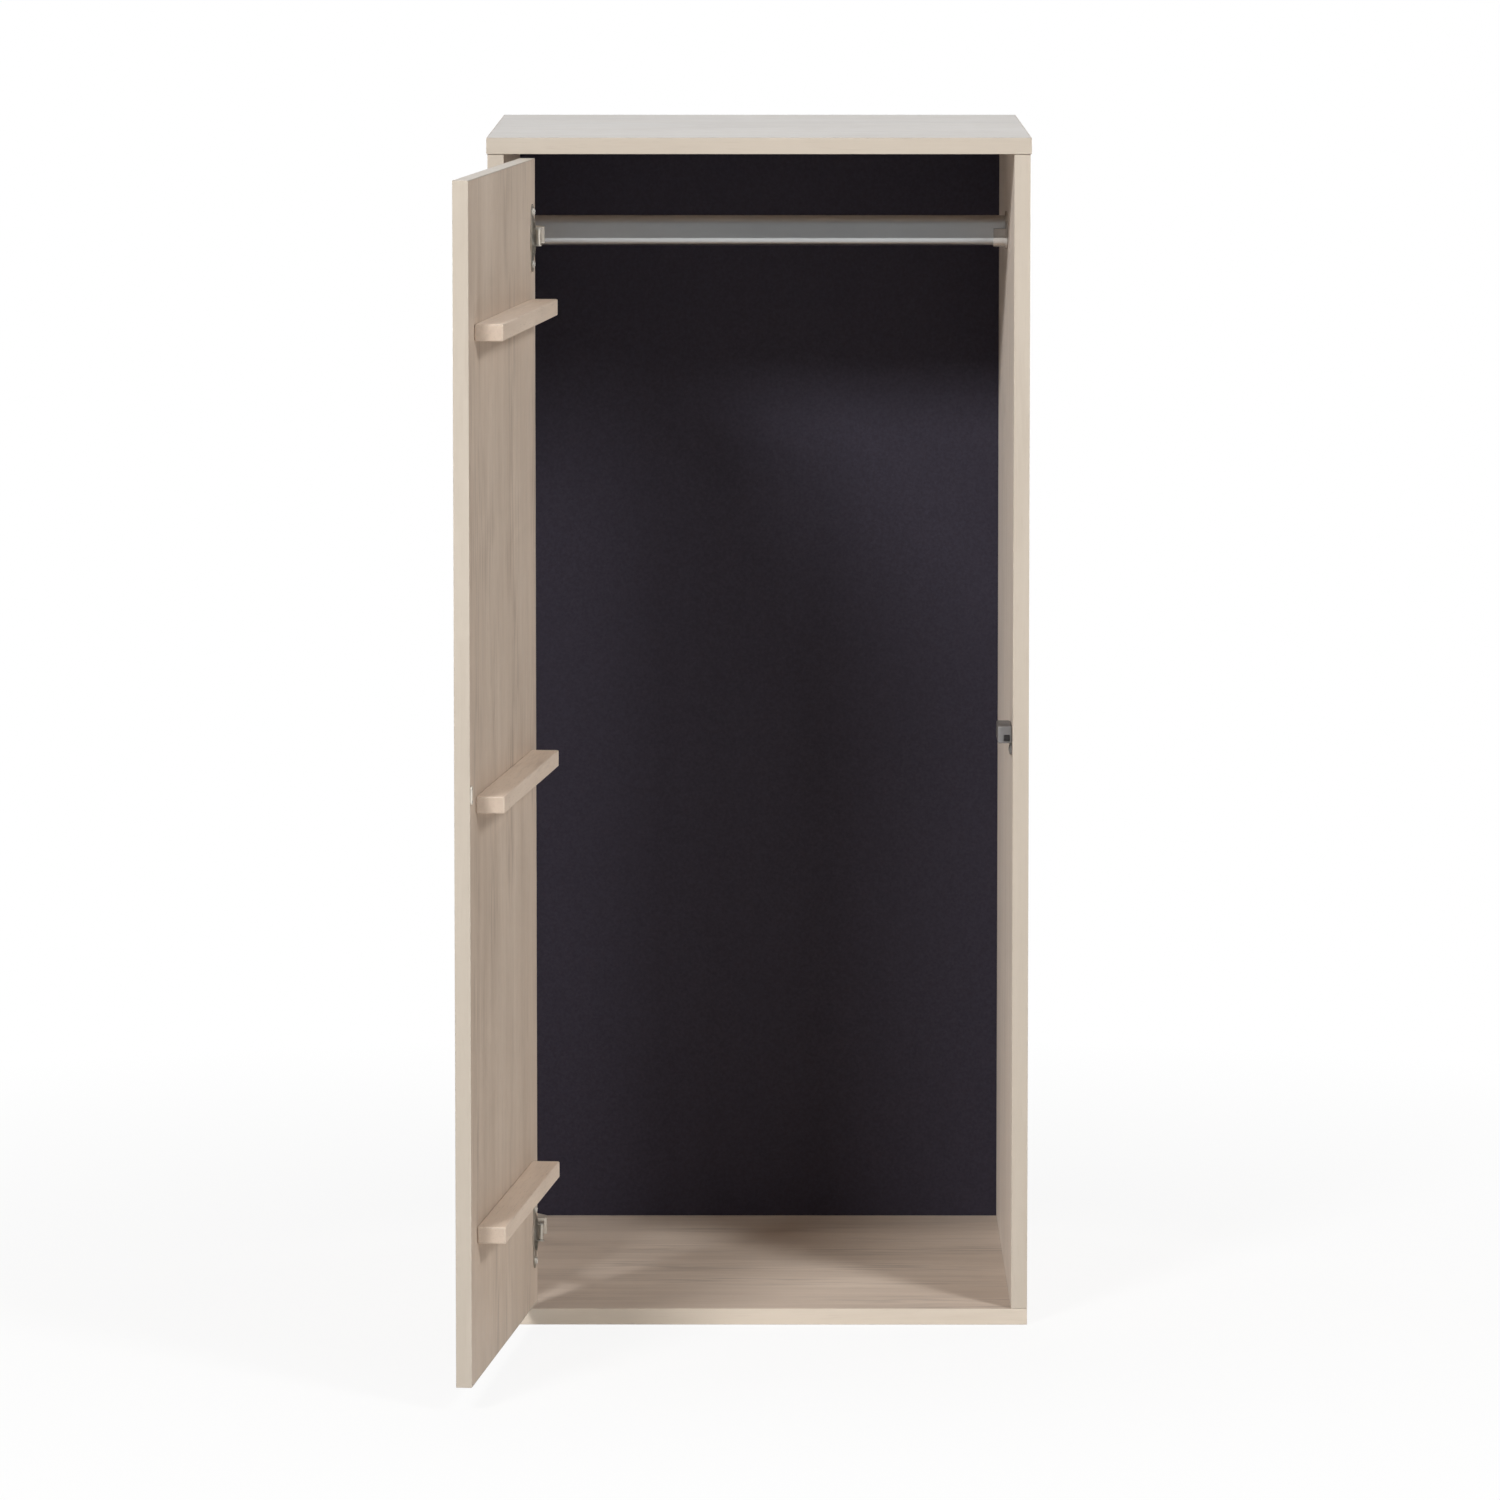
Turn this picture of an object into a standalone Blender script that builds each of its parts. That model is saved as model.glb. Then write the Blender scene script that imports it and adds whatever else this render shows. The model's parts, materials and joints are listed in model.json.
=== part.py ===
"""Wardrobe with one inset push-open door on concealed hinges, standing open as photographed.

Units are metres, +Z is up. X runs left to right, Y runs from the open front into the carcass, and the
origin is the middle of the base. Pieces that swing with the door are drawn with the door shut and carried
by an empty on the door's axis, which is turned to the photographed opening.
"""
import math

import bmesh
import bpy
from mathutils import Matrix, Vector

# Carcass
CLEAR_WIDTH = 0.500
CARCASS_DEPTH = 0.605
CARCASS_HEIGHT = 1.176
BOARD = 0.016
EDGING = 0.001
EDGING_ROUND = 0.0005
TOP_FRONT_OVERHANG = 0.002
SEAM = 0.0002
GLUE_LINE = 0.0001
FIT = 0.0003
RUNNING = 0.0001

# Back panel in its grooves
BACK_THICKNESS = 0.003
BACK_INSET = 0.010
GROOVE_DEPTH = 0.007

# Dowels between the sides and the top and bottom
DOWEL_RADIUS = 0.004
DOWEL_IN_SIDE = 0.0155
DOWEL_IN_BOARD = 0.0105
DOWEL_FROM_FRONT = 0.070
DOWEL_FROM_BACK = 0.080

# Hanging rail and its sockets
RAIL_HEIGHT = 0.030
RAIL_DEPTH = 0.015
RAIL_WALL = 0.001
RAIL_BELOW_TOP = 0.0873
RAIL_FROM_FRONT = 0.260
SOCKET_WALL = 0.0016
SOCKET_REACH = 0.014
SOCKET_FLANGE = 0.002
SOCKET_FLANGE_MARGIN = 0.0025
SOCKET_MOUTH_ABOVE_CENTRE = 0.002

# Door
DOOR_THICKNESS = 0.015
DOOR_SIDE_GAP = 0.002
DOOR_TOP_GAP = 0.0038
DOOR_BOTTOM_GAP = 0.0085
OPEN_ANGLE = math.radians(95.7)

# Battens on the door's inner face
BATTEN_HEIGHT = 0.016
BATTEN_REACH = 0.027
BATTEN_MARGIN = 0.040
BATTEN_ROUND = 0.0012
UPPER_BATTEN_BELOW_DOOR_TOP = 0.1434
MIDDLE_BATTEN_BELOW_CENTRE = 0.020
LOWER_BATTEN_ABOVE_DOOR_BOTTOM = 0.1385

# Concealed hinges: the axis of the door's swing and the height of each hinge
AXIS_FROM_SIDE = 0.0072
AXIS_BEFORE_FRONT = 0.008
UPPER_HINGE_BELOW_DOOR_TOP = 0.0767
LOWER_HINGE_ABOVE_DOOR_BOTTOM = 0.0705

# Hinge cup, let into the door
CUP_RADIUS = 0.0175
CUP_DEPTH = 0.0115
CUP_WALL = 0.0015
CUP_EDGE_MARGIN = 0.003
FLANGE_THICKNESS = 0.0012
FLANGE_RIM = 0.0015
FLANGE_LENGTH = 0.066
FLANGE_WIDTH = 0.015
FLANGE_OFFSET = 0.006
EAR_STEP = 0.0001

# Hinge link, its two pins and the eyes they sit in
CUP_PIN_RADIUS = 0.0012
CUP_PIN_FROM_DOOR_EDGE = 0.008
CUP_PIN_ABOVE_FACE = 0.0046
ARM_PIN_RADIUS = 0.0013
LINK_HALF_WIDTH = 0.0021
LINK_SHEET = 0.0015
LUG_RADIUS = 0.0030
LUG_SHEET = 0.0015
NOSE_RADIUS = 0.0026
NOSE_HALF = 0.0053
PASSING_CLEARANCE = 0.0011

# Hinge arm, a cranked channel, and the plate that carries it
ARM_HEIGHT_FRONT = 0.039
ARM_HEIGHT_BACK = 0.026
ARM_FLANK = 0.013
ARM_HALF = 0.008
ARM_SHEET = 0.0015
ARM_START = 0.024
ARM_CRANK_START = 0.042
ARM_CRANK_END = 0.060
ARM_END = 0.088
ARM_CHAMFER = 0.002
TONGUE_END = 0.036
PLATE_THICKNESS = 0.002
PLATE_HALF = 0.008
PLATE_START = 0.044
PLATE_OVERRUN = 0.003
WING_HALF = 0.025
WING_WIDTH = 0.014
BLOCK_LENGTH = 0.024
CLAMP_SCREW_FROM_END = 0.008
SIDE_SCREW_FROM_END = 0.020
SCREW_HEAD_RADIUS = 0.0040
SCREW_HEAD_HEIGHT = 0.0024
SCREW_SHANK_RADIUS = 0.0020
SCREW_SHANK_LENGTH = 0.0075

# Push latch on the right side, and its strike on the door
LATCH_BELOW_DOOR_CENTRE = 0.0038
LATCH_HEIGHT = 0.0170
LATCH_REACH = 0.014
LATCH_LENGTH = 0.0575
LATCH_ROUND = 0.0015
LATCH_FOOT_THICKNESS = 0.0018
LATCH_FOOT_DROP = 0.0207
LATCH_FOOT_WIDTH = 0.016
LATCH_FOOT_BEHIND_FACE = 0.0075
PLUNGER_WIDTH = 0.0056
PLUNGER_HEIGHT = 0.0056
PLUNGER_LENGTH = 0.047
PLUNGER_STANDOUT = 0.0016
PLUNGER_FROM_SIDE = 0.0053
PLUNGER_BELOW_LATCH_CENTRE = 0.0032
PLUNGER_SPARE_BORE = 0.006
STRIKE_THICKNESS = 0.0012
STRIKE_WIDTH = 0.0083
STRIKE_HEIGHT = 0.0174
STRIKE_GAP = 0.0004

# Facets
ROUND_SEGMENTS = 32
PIN_SEGMENTS = 16
ARC_STEPS = 8

# Finishes: colour, roughness and metallic value
OAK = ("oak_board", (0.50, 0.40, 0.30), 0.55, 0.0)
EDGE_OAK = ("oak_edging", (0.66, 0.57, 0.46), 0.50, 0.0)
BLACK_BOARD = ("black_board", (0.012, 0.011, 0.014), 0.60, 0.0)
BEECH = ("beech_dowel", (0.60, 0.42, 0.25), 0.70, 0.0)
RAIL_METAL = ("rail_metal", (0.45, 0.45, 0.44), 0.35, 1.0)
NICKEL = ("nickel_plate", (0.62, 0.60, 0.57), 0.28, 1.0)
PIN_STEEL = ("pin_steel", (0.50, 0.50, 0.50), 0.30, 1.0)
SOCKET_GREY = ("socket_grey", (0.55, 0.53, 0.50), 0.45, 0.0)
LATCH_GREY = ("latch_grey", (0.18, 0.18, 0.19), 0.50, 0.0)
PLUNGER_BLACK = ("plunger_black", (0.010, 0.010, 0.010), 0.45, 0.0)

# Places that follow from the sizes above
INNER_LEFT = -CLEAR_WIDTH / 2
INNER_RIGHT = CLEAR_WIDTH / 2
OUTER_LEFT = INNER_LEFT - BOARD
OUTER_RIGHT = INNER_RIGHT + BOARD
FRONT = -CARCASS_DEPTH / 2
BACK = CARCASS_DEPTH / 2
FLOOR_TOP = BOARD
CEILING = CARCASS_HEIGHT - BOARD
BACK_FACE = BACK - BACK_INSET - BACK_THICKNESS

DOOR_LEFT = INNER_LEFT + DOOR_SIDE_GAP
DOOR_RIGHT = INNER_RIGHT - DOOR_SIDE_GAP
DOOR_BOTTOM = FLOOR_TOP + DOOR_BOTTOM_GAP
DOOR_TOP = CEILING - DOOR_TOP_GAP
DOOR_CENTRE = (DOOR_BOTTOM + DOOR_TOP) / 2
DOOR_FACE = FRONT + DOOR_THICKNESS

AXIS = Vector((INNER_LEFT + AXIS_FROM_SIDE, FRONT - AXIS_BEFORE_FRONT, 0.0))
HINGES = {
    "upper": DOOR_TOP - UPPER_HINGE_BELOW_DOOR_TOP,
    "lower": DOOR_BOTTOM + LOWER_HINGE_ABOVE_DOOR_BOTTOM,
}
BATTENS = {
    "upper": DOOR_TOP - UPPER_BATTEN_BELOW_DOOR_TOP,
    "middle": DOOR_CENTRE - MIDDLE_BATTEN_BELOW_CENTRE,
    "lower": DOOR_BOTTOM + LOWER_BATTEN_ABOVE_DOOR_BOTTOM,
}
CUP_X = DOOR_LEFT + CUP_EDGE_MARGIN + CUP_RADIUS
RAIL_Z = CEILING - RAIL_BELOW_TOP
RAIL_Y = FRONT + RAIL_FROM_FRONT
RAIL_RADIUS = RAIL_DEPTH / 2
RAIL_STRAIGHT = RAIL_HEIGHT / 2 - RAIL_RADIUS
LATCH_Z = DOOR_CENTRE - LATCH_BELOW_DOOR_CENTRE
STRIKE_FACE = DOOR_FACE + FIT + STRIKE_THICKNESS
PLUNGER_TIP = STRIKE_FACE + STRIKE_GAP
LATCH_FRONT = PLUNGER_TIP + PLUNGER_STANDOUT
PLUNGER_X = INNER_RIGHT - PLUNGER_FROM_SIDE
PLUNGER_Z = LATCH_Z - PLUNGER_BELOW_LATCH_CENTRE


def clear_scene():
    """Removes every object that is already in the scene."""
    for existing in list(bpy.data.objects):
        bpy.data.objects.remove(existing, do_unlink=True)


def new_collection(name):
    """Returns a new collection under the scene."""
    collection = bpy.data.collections.new(name)
    bpy.context.scene.collection.children.link(collection)
    return collection


def finish_material(finish):
    """Returns the material of a finish, made the first time it is asked for."""
    name, colour, roughness, metallic = finish
    material = bpy.data.materials.get(name)
    if material is None:
        material = bpy.data.materials.new(name)
        material.use_nodes = True
        shader = material.node_tree.nodes["Principled BSDF"]
        shader.inputs["Base Color"].default_value = (*colour, 1.0)
        shader.inputs["Roughness"].default_value = roughness
        shader.inputs["Metallic"].default_value = metallic
    return material


def add_object(name, mesh, carrier=None):
    """Returns an object for a mesh, moved into its carrier's frame if it has one."""
    thing = bpy.data.objects.new(name, mesh)
    if carrier is None:
        parts.objects.link(thing)
        return thing
    mesh.transform(Matrix.Translation(-carrier["drawn_at"]))
    thing.parent = carrier["empty"]
    parts.objects.link(thing)
    return thing


def piece(thing, finish):
    """Gives a finished piece its own copy of the finish."""
    material = finish_material(finish).copy()
    material.name = thing.name + "_" + finish[0]
    thing.data.materials.clear()
    thing.data.materials.append(material)
    return thing


def box(name, low, high, carrier=None):
    """Returns a box between two corners."""
    low = Vector(low)
    high = Vector(high)
    size = high - low
    shape = bmesh.new()
    placed = Matrix.Translation((low + high) / 2) @ Matrix.Diagonal((*size, 1.0))
    bmesh.ops.create_cube(shape, size=1.0, matrix=placed)
    mesh = bpy.data.meshes.new(name)
    shape.to_mesh(mesh)
    shape.free()
    return add_object(name, mesh, carrier)


def round_edges(thing, radius, segments=2):
    """Adds a bevel of the given radius to every edge sharper than 40 degrees."""
    bevel = thing.modifiers.new("rounded_edges", "BEVEL")
    bevel.width = radius
    bevel.segments = segments
    bevel.limit_method = "ANGLE"
    bevel.angle_limit = math.radians(40.0)
    return thing


AXIS_TURNS = {
    "X": Matrix.Rotation(math.pi / 2, 4, "Y"),
    "Y": Matrix.Rotation(-math.pi / 2, 4, "X"),
    "Z": Matrix.Identity(4),
}


def rod(name, axis, centre, start, end, radius, carrier=None, segments=ROUND_SEGMENTS):
    """Returns a cylinder along an axis from start to end, with its other two places from centre."""
    middle = Vector(centre)
    middle["XYZ".index(axis)] = (start + end) / 2
    shape = bmesh.new()
    bmesh.ops.create_cone(
        shape,
        cap_ends=True,
        segments=segments,
        radius1=radius,
        radius2=radius,
        depth=end - start,
        matrix=Matrix.Translation(middle) @ AXIS_TURNS[axis],
    )
    mesh = bpy.data.meshes.new(name)
    shape.to_mesh(mesh)
    shape.free()
    mesh.shade_smooth()
    mesh.set_sharp_from_angle(angle=math.radians(40.0))
    return add_object(name, mesh, carrier)


def arc(centre, radius, start, end, steps=ARC_STEPS):
    """Returns points along an arc, angles in degrees."""
    points = []
    for step in range(steps + 1):
        angle = math.radians(start + (end - start) * step / steps)
        points.append((centre[0] + radius * math.cos(angle), centre[1] + radius * math.sin(angle)))
    return points


def stadium(centre, radius, straight):
    """Returns an upright oval: two half circles joined by straights of twice the given half length."""
    upper = arc((centre[0], centre[1] + straight), radius, 0.0, 180.0, 2 * ARC_STEPS)
    lower = arc((centre[0], centre[1] - straight), radius, 180.0, 360.0, 2 * ARC_STEPS)
    return upper + lower


def rounded_rectangle(centre, width, height, radius):
    """Returns a rectangle with round corners."""
    across = width / 2 - radius
    up = height / 2 - radius
    points = []
    for turn, (side, level) in enumerate(((1, 1), (-1, 1), (-1, -1), (1, -1))):
        corner = (centre[0] + side * across, centre[1] + level * up)
        points += arc(corner, radius, 90.0 * turn, 90.0 * turn + 90.0, ARC_STEPS // 2)
    return points


# Each plane's matrix takes an outline's two coordinates and its thickness to world axes
PLANES = {
    "XY": Matrix.Identity(4),
    "YZ": Matrix(((0, 0, 1, 0), (1, 0, 0, 0), (0, 1, 0, 0), (0, 0, 0, 1))),
    "XZ": Matrix(((1, 0, 0, 0), (0, 0, -1, 0), (0, 1, 0, 0), (0, 0, 0, 1))),
}
THICKNESS_AXIS = {"XY": "Z", "YZ": "X", "XZ": "Y"}


def plate(name, plane, outlines, start, end, carrier=None):
    """Returns a flat outline, with any holes inside it, given thickness from start to end."""
    curve = bpy.data.curves.new(name, "CURVE")
    curve.dimensions = "2D"
    curve.fill_mode = "BOTH"
    curve.extrude = (end - start) / 2
    for outline in outlines:
        spline = curve.splines.new("POLY")
        spline.points.add(len(outline) - 1)
        for point, (along, up) in zip(spline.points, outline):
            point.co = (along, up, 0.0, 1.0)
        spline.use_cyclic_u = True
    holder = bpy.data.objects.new(name + "_outline", curve)
    parts.objects.link(holder)
    bpy.context.view_layer.update()
    evaluated = holder.evaluated_get(bpy.context.evaluated_depsgraph_get())
    mesh = bpy.data.meshes.new_from_object(evaluated)
    bpy.data.objects.remove(holder, do_unlink=True)
    bpy.data.curves.remove(curve)
    shift = Vector((0.0, 0.0, 0.0))
    shift["XYZ".index(THICKNESS_AXIS[plane])] = (start + end) / 2
    shape = bmesh.new()
    shape.from_mesh(mesh)
    bmesh.ops.remove_doubles(shape, verts=shape.verts, dist=1e-6)
    bmesh.ops.transform(shape, matrix=Matrix.Translation(shift) @ PLANES[plane], verts=shape.verts)
    bmesh.ops.recalc_face_normals(shape, faces=shape.faces)
    shape.to_mesh(mesh)
    shape.free()
    mesh.name = name
    return add_object(name, mesh, carrier)


def apply_tool(thing, tool, operation):
    """Cuts or joins a piece with a tool shape, which is kept as a hidden guide."""
    parts.objects.unlink(tool)
    cutters.objects.link(tool)
    tool.hide_render = True
    tool.display_type = "WIRE"
    boolean = thing.modifiers.new(tool.name, "BOOLEAN")
    boolean.operation = operation
    boolean.object = tool
    boolean.solver = "EXACT"


def cut(thing, *tools):
    """Cuts each tool out of a piece."""
    for tool in tools:
        apply_tool(thing, tool, "DIFFERENCE")
    return thing


def join(thing, *tools):
    """Joins each tool to a piece."""
    for tool in tools:
        apply_tool(thing, tool, "UNION")
    return thing


def turned(name, profile, place, carrier):
    """Returns a body turned round the X axis at a place, from a profile of radius and height."""
    mesh = bpy.data.meshes.new(name)
    points = [(radius, 0.0, height) for radius, height in profile]
    edges = [(index, index + 1) for index in range(len(points) - 1)]
    mesh.from_pydata(points, edges, [])
    thing = add_object(name, mesh, carrier)
    screw = thing.modifiers.new("turned", "SCREW")
    screw.steps = PIN_SEGMENTS
    screw.render_steps = PIN_SEGMENTS
    screw.use_merge_vertices = True
    screw.merge_threshold = 0.00001
    thing.location = place
    thing.rotation_euler = (0.0, math.pi / 2, 0.0)
    return thing


def spun(name, profile, centre, carrier):
    """Returns a body spun round a line along Y, from pairs of radius and Y."""
    shape = bmesh.new()
    rings = []
    for radius, y in profile:
        ring = []
        for step in range(ROUND_SEGMENTS):
            angle = 2 * math.pi * (step + 0.5) / ROUND_SEGMENTS
            ring.append(shape.verts.new((
                centre[0] + radius * math.cos(angle),
                y,
                centre[1] + radius * math.sin(angle),
            )))
        rings.append(ring)
    for inner, outer in zip(rings, rings[1:]):
        for step in range(ROUND_SEGMENTS):
            after = (step + 1) % ROUND_SEGMENTS
            shape.faces.new((inner[step], inner[after], outer[after], outer[step]))
    shape.faces.new(rings[0])
    shape.faces.new(rings[-1])
    bmesh.ops.recalc_face_normals(shape, faces=shape.faces)
    mesh = bpy.data.meshes.new(name)
    shape.to_mesh(mesh)
    shape.free()
    return add_object(name, mesh, carrier)


def carrier_empty(name, drawn_at, location, turn, parent=None):
    """Returns a frame for pieces that swing: an empty on the axis, and where they are drawn about."""
    empty = bpy.data.objects.new(name, None)
    empty.location = location
    empty.rotation_euler = (0.0, 0.0, turn)
    empty.parent = parent
    parts.objects.link(empty)
    return {"empty": empty, "drawn_at": drawn_at}


def dowel_places():
    """Returns the name, X, Y and joint height of each dowel."""
    places = []
    sides = {"left": OUTER_LEFT + BOARD / 2, "right": OUTER_RIGHT - BOARD / 2}
    rows = {"front": FRONT + DOWEL_FROM_FRONT, "rear": BACK - DOWEL_FROM_BACK}
    for level, height in (("top", CEILING), ("bottom", FLOOR_TOP)):
        for side, x in sides.items():
            for row, y in rows.items():
                places.append((level, side, row, x, y, height))
    return places


def dowel_span(level, height, play):
    """Returns the lowest and highest point of a dowel, or of its hole with some play."""
    into_board = DOWEL_IN_BOARD + play
    into_side = DOWEL_IN_SIDE + play
    if level == "top":
        return height - into_side, height + into_board
    return height - into_board, height + into_side


def dowel_holes(owner, wanted_level, wanted_side):
    """Returns the hole tools for one board; None stands for both sides or both levels."""
    tools = []
    for level, side, row, x, y, height in dowel_places():
        if wanted_level not in (None, level) or wanted_side not in (None, side):
            continue
        low, high = dowel_span(level, height, FIT)
        name = "_".join((owner, level, side, row, "hole"))
        hole = rod(name, "Z", (x, y, 0.0), low, high, DOWEL_RADIUS + SEAM, segments=PIN_SEGMENTS)
        tools.append(hole)
    return tools


def build_carcass_boards():
    """Makes the four boards of the carcass, with the grooves and dowel holes that join them."""
    front_of_board = FRONT + EDGING + GLUE_LINE
    groove_front = BACK_FACE - FIT
    groove_back = BACK_FACE + BACK_THICKNESS + FIT
    groove_left = INNER_LEFT - GROOVE_DEPTH - FIT
    groove_right = INNER_RIGHT + GROOVE_DEPTH + FIT
    past = BOARD

    top = box(
        "top_panel",
        (OUTER_LEFT, FRONT - TOP_FRONT_OVERHANG + EDGING + GLUE_LINE, CEILING),
        (OUTER_RIGHT, BACK, CARCASS_HEIGHT),
    )
    top_groove = box(
        "top_groove",
        (groove_left, groove_front, CEILING - past),
        (groove_right, groove_back, CEILING + GROOVE_DEPTH + FIT),
    )
    piece(cut(top, top_groove, *dowel_holes("top_panel", "top", None)), OAK)

    bottom = box("bottom_panel", (OUTER_LEFT, front_of_board, 0.0), (OUTER_RIGHT, BACK, FLOOR_TOP))
    bottom_groove = box(
        "bottom_groove",
        (groove_left, groove_front, FLOOR_TOP - GROOVE_DEPTH - FIT),
        (groove_right, groove_back, FLOOR_TOP + past),
    )
    piece(cut(bottom, bottom_groove, *dowel_holes("bottom_panel", "bottom", None)), OAK)

    inner_faces = {"left": INNER_LEFT, "right": INNER_RIGHT}
    for side, outward in (("left", -1), ("right", 1)):
        inner = inner_faces[side]
        outer = inner + outward * BOARD
        name = side + "_side_panel"
        panel = box(
            name,
            (min(inner, outer), front_of_board, FLOOR_TOP + SEAM),
            (max(inner, outer), BACK, CEILING - SEAM),
        )
        groove_bottom = inner + outward * (GROOVE_DEPTH + FIT)
        groove_mouth = inner - outward * past
        groove = box(
            side + "_groove",
            (min(groove_bottom, groove_mouth), groove_front, FLOOR_TOP - past),
            (max(groove_bottom, groove_mouth), groove_back, CEILING + past),
        )
        piece(cut(panel, groove, *dowel_holes(name, None, side)), OAK)


def build_back_panel():
    """Makes the thin black panel that slides into the grooves."""
    panel = box(
        "back_panel",
        (INNER_LEFT - GROOVE_DEPTH, BACK_FACE, FLOOR_TOP - GROOVE_DEPTH),
        (INNER_RIGHT + GROOVE_DEPTH, BACK_FACE + BACK_THICKNESS, CEILING + GROOVE_DEPTH),
    )
    piece(panel, BLACK_BOARD)


def build_dowels():
    """Makes the dowels that hold the sides to the top and bottom."""
    for level, side, row, x, y, height in dowel_places():
        low, high = dowel_span(level, height, 0.0)
        name = "_".join((level, side, row, "dowel"))
        piece(rod(name, "Z", (x, y, 0.0), low, high, DOWEL_RADIUS, segments=PIN_SEGMENTS), BEECH)


def build_edging():
    """Makes the edging strips of the carcass boards."""
    top_front = FRONT - TOP_FRONT_OVERHANG
    top_left = OUTER_LEFT - GLUE_LINE - EDGING
    top_right = OUTER_RIGHT + GLUE_LINE + EDGING
    behind_front_strip = top_front + EDGING + GLUE_LINE
    side_low = FLOOR_TOP + SEAM
    side_high = CEILING - SEAM
    strips = {
        "top_front_edging": ((top_left, top_front, CEILING), (top_right, top_front + EDGING, CARCASS_HEIGHT)),
        "top_left_edging": (
            (top_left, behind_front_strip, CEILING),
            (top_left + EDGING, BACK, CARCASS_HEIGHT),
        ),
        "top_right_edging": (
            (top_right - EDGING, behind_front_strip, CEILING),
            (top_right, BACK, CARCASS_HEIGHT),
        ),
        "bottom_front_edging": ((OUTER_LEFT, FRONT, 0.0), (OUTER_RIGHT, FRONT + EDGING, FLOOR_TOP)),
        "left_side_front_edging": ((OUTER_LEFT, FRONT, side_low), (INNER_LEFT, FRONT + EDGING, side_high)),
        "right_side_front_edging": ((INNER_RIGHT, FRONT, side_low), (OUTER_RIGHT, FRONT + EDGING, side_high)),
    }
    for name, (low, high) in strips.items():
        piece(round_edges(box(name, low, high), EDGING_ROUND), EDGE_OAK)


def build_rail():
    """Makes the oval tube and the two open sockets that it drops into."""
    centre = (RAIL_Y, RAIL_Z)
    end_room = SEAM + SOCKET_FLANGE + FIT
    tube = plate(
        "hanging_rail",
        "YZ",
        [
            stadium(centre, RAIL_RADIUS, RAIL_STRAIGHT),
            stadium(centre, RAIL_RADIUS - RAIL_WALL, RAIL_STRAIGHT),
        ],
        INNER_LEFT + end_room,
        INNER_RIGHT - end_room,
    )
    piece(tube, RAIL_METAL)

    hollow = RAIL_RADIUS + FIT
    shell = hollow + SOCKET_WALL
    mouth = RAIL_Z + SOCKET_MOUTH_ABOVE_CENTRE
    bend = (RAIL_Y, RAIL_Z - RAIL_STRAIGHT)
    cradle = [(RAIL_Y - shell, mouth)]
    cradle += arc(bend, shell, 180.0, 360.0, 2 * ARC_STEPS)
    cradle += [(RAIL_Y + shell, mouth), (RAIL_Y + hollow, mouth)]
    cradle += arc(bend, hollow, 360.0, 180.0, 2 * ARC_STEPS)
    cradle += [(RAIL_Y - hollow, mouth)]
    inner_faces = {"left": INNER_LEFT, "right": INNER_RIGHT}
    for side, inward in (("left", 1), ("right", -1)):
        seat = inner_faces[side] + inward * SEAM
        face = seat + inward * SOCKET_FLANGE
        inside = seat + inward * SOCKET_FLANGE / 2
        tip = seat + inward * SOCKET_REACH
        name = side + "_rail_socket"
        flange_outline = stadium(centre, shell + SOCKET_FLANGE_MARGIN, RAIL_STRAIGHT)
        socket = plate(name, "YZ", [flange_outline], min(seat, face), max(seat, face))
        wall = plate(name + "_cradle", "YZ", [cradle], min(inside, tip), max(inside, tip))
        piece(join(socket, wall), SOCKET_GREY)


def build_door():
    """Makes the door board with its cup bores, its edging, its battens and its strike plate."""
    core_left = DOOR_LEFT + EDGING + GLUE_LINE
    core_right = DOOR_RIGHT - EDGING - GLUE_LINE
    core_bottom = DOOR_BOTTOM + EDGING + GLUE_LINE
    core_top = DOOR_TOP - EDGING - GLUE_LINE
    panel = box("door_panel", (core_left, FRONT, core_bottom), (core_right, DOOR_FACE, core_top), door)
    for level, height in HINGES.items():
        bore = rod(
            level + "_cup_bore",
            "Y",
            (CUP_X, 0.0, height),
            DOOR_FACE - CUP_DEPTH - FIT,
            DOOR_FACE + CUP_DEPTH,
            CUP_RADIUS + FIT,
            door,
        )
        cut(panel, bore)
    piece(panel, OAK)

    strips = {
        "door_hinge_edging": (DOOR_LEFT, DOOR_LEFT + EDGING, DOOR_BOTTOM, DOOR_TOP),
        "door_free_edging": (DOOR_RIGHT - EDGING, DOOR_RIGHT, DOOR_BOTTOM, DOOR_TOP),
        "door_bottom_edging": (core_left, core_right, DOOR_BOTTOM, DOOR_BOTTOM + EDGING),
        "door_top_edging": (core_left, core_right, DOOR_TOP - EDGING, DOOR_TOP),
    }
    for name, (left, right, low, high) in strips.items():
        strip = box(name, (left, FRONT, low), (right, DOOR_FACE, high), door)
        piece(round_edges(strip, EDGING_ROUND), EDGE_OAK)

    for level, height in BATTENS.items():
        batten = box(
            level + "_door_batten",
            (DOOR_LEFT + BATTEN_MARGIN, DOOR_FACE + SEAM, height - BATTEN_HEIGHT / 2),
            (DOOR_RIGHT - BATTEN_MARGIN, DOOR_FACE + SEAM + BATTEN_REACH, height + BATTEN_HEIGHT / 2),
            door,
        )
        piece(round_edges(batten, BATTEN_ROUND), OAK)

    strike_x = DOOR_RIGHT - EDGING - FIT - STRIKE_WIDTH / 2
    strike_outline = rounded_rectangle((strike_x, PLUNGER_Z), STRIKE_WIDTH, STRIKE_HEIGHT, STRIKE_WIDTH / 4)
    strike = plate("latch_strike", "XZ", [strike_outline], DOOR_FACE + FIT, STRIKE_FACE, door)
    piece(strike, NICKEL)


def swing(point, angle):
    """Returns a point in plan after the door has opened by an angle about its axis."""
    return AXIS + Matrix.Rotation(-angle, 3, "Z") @ (point - AXIS)


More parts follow.
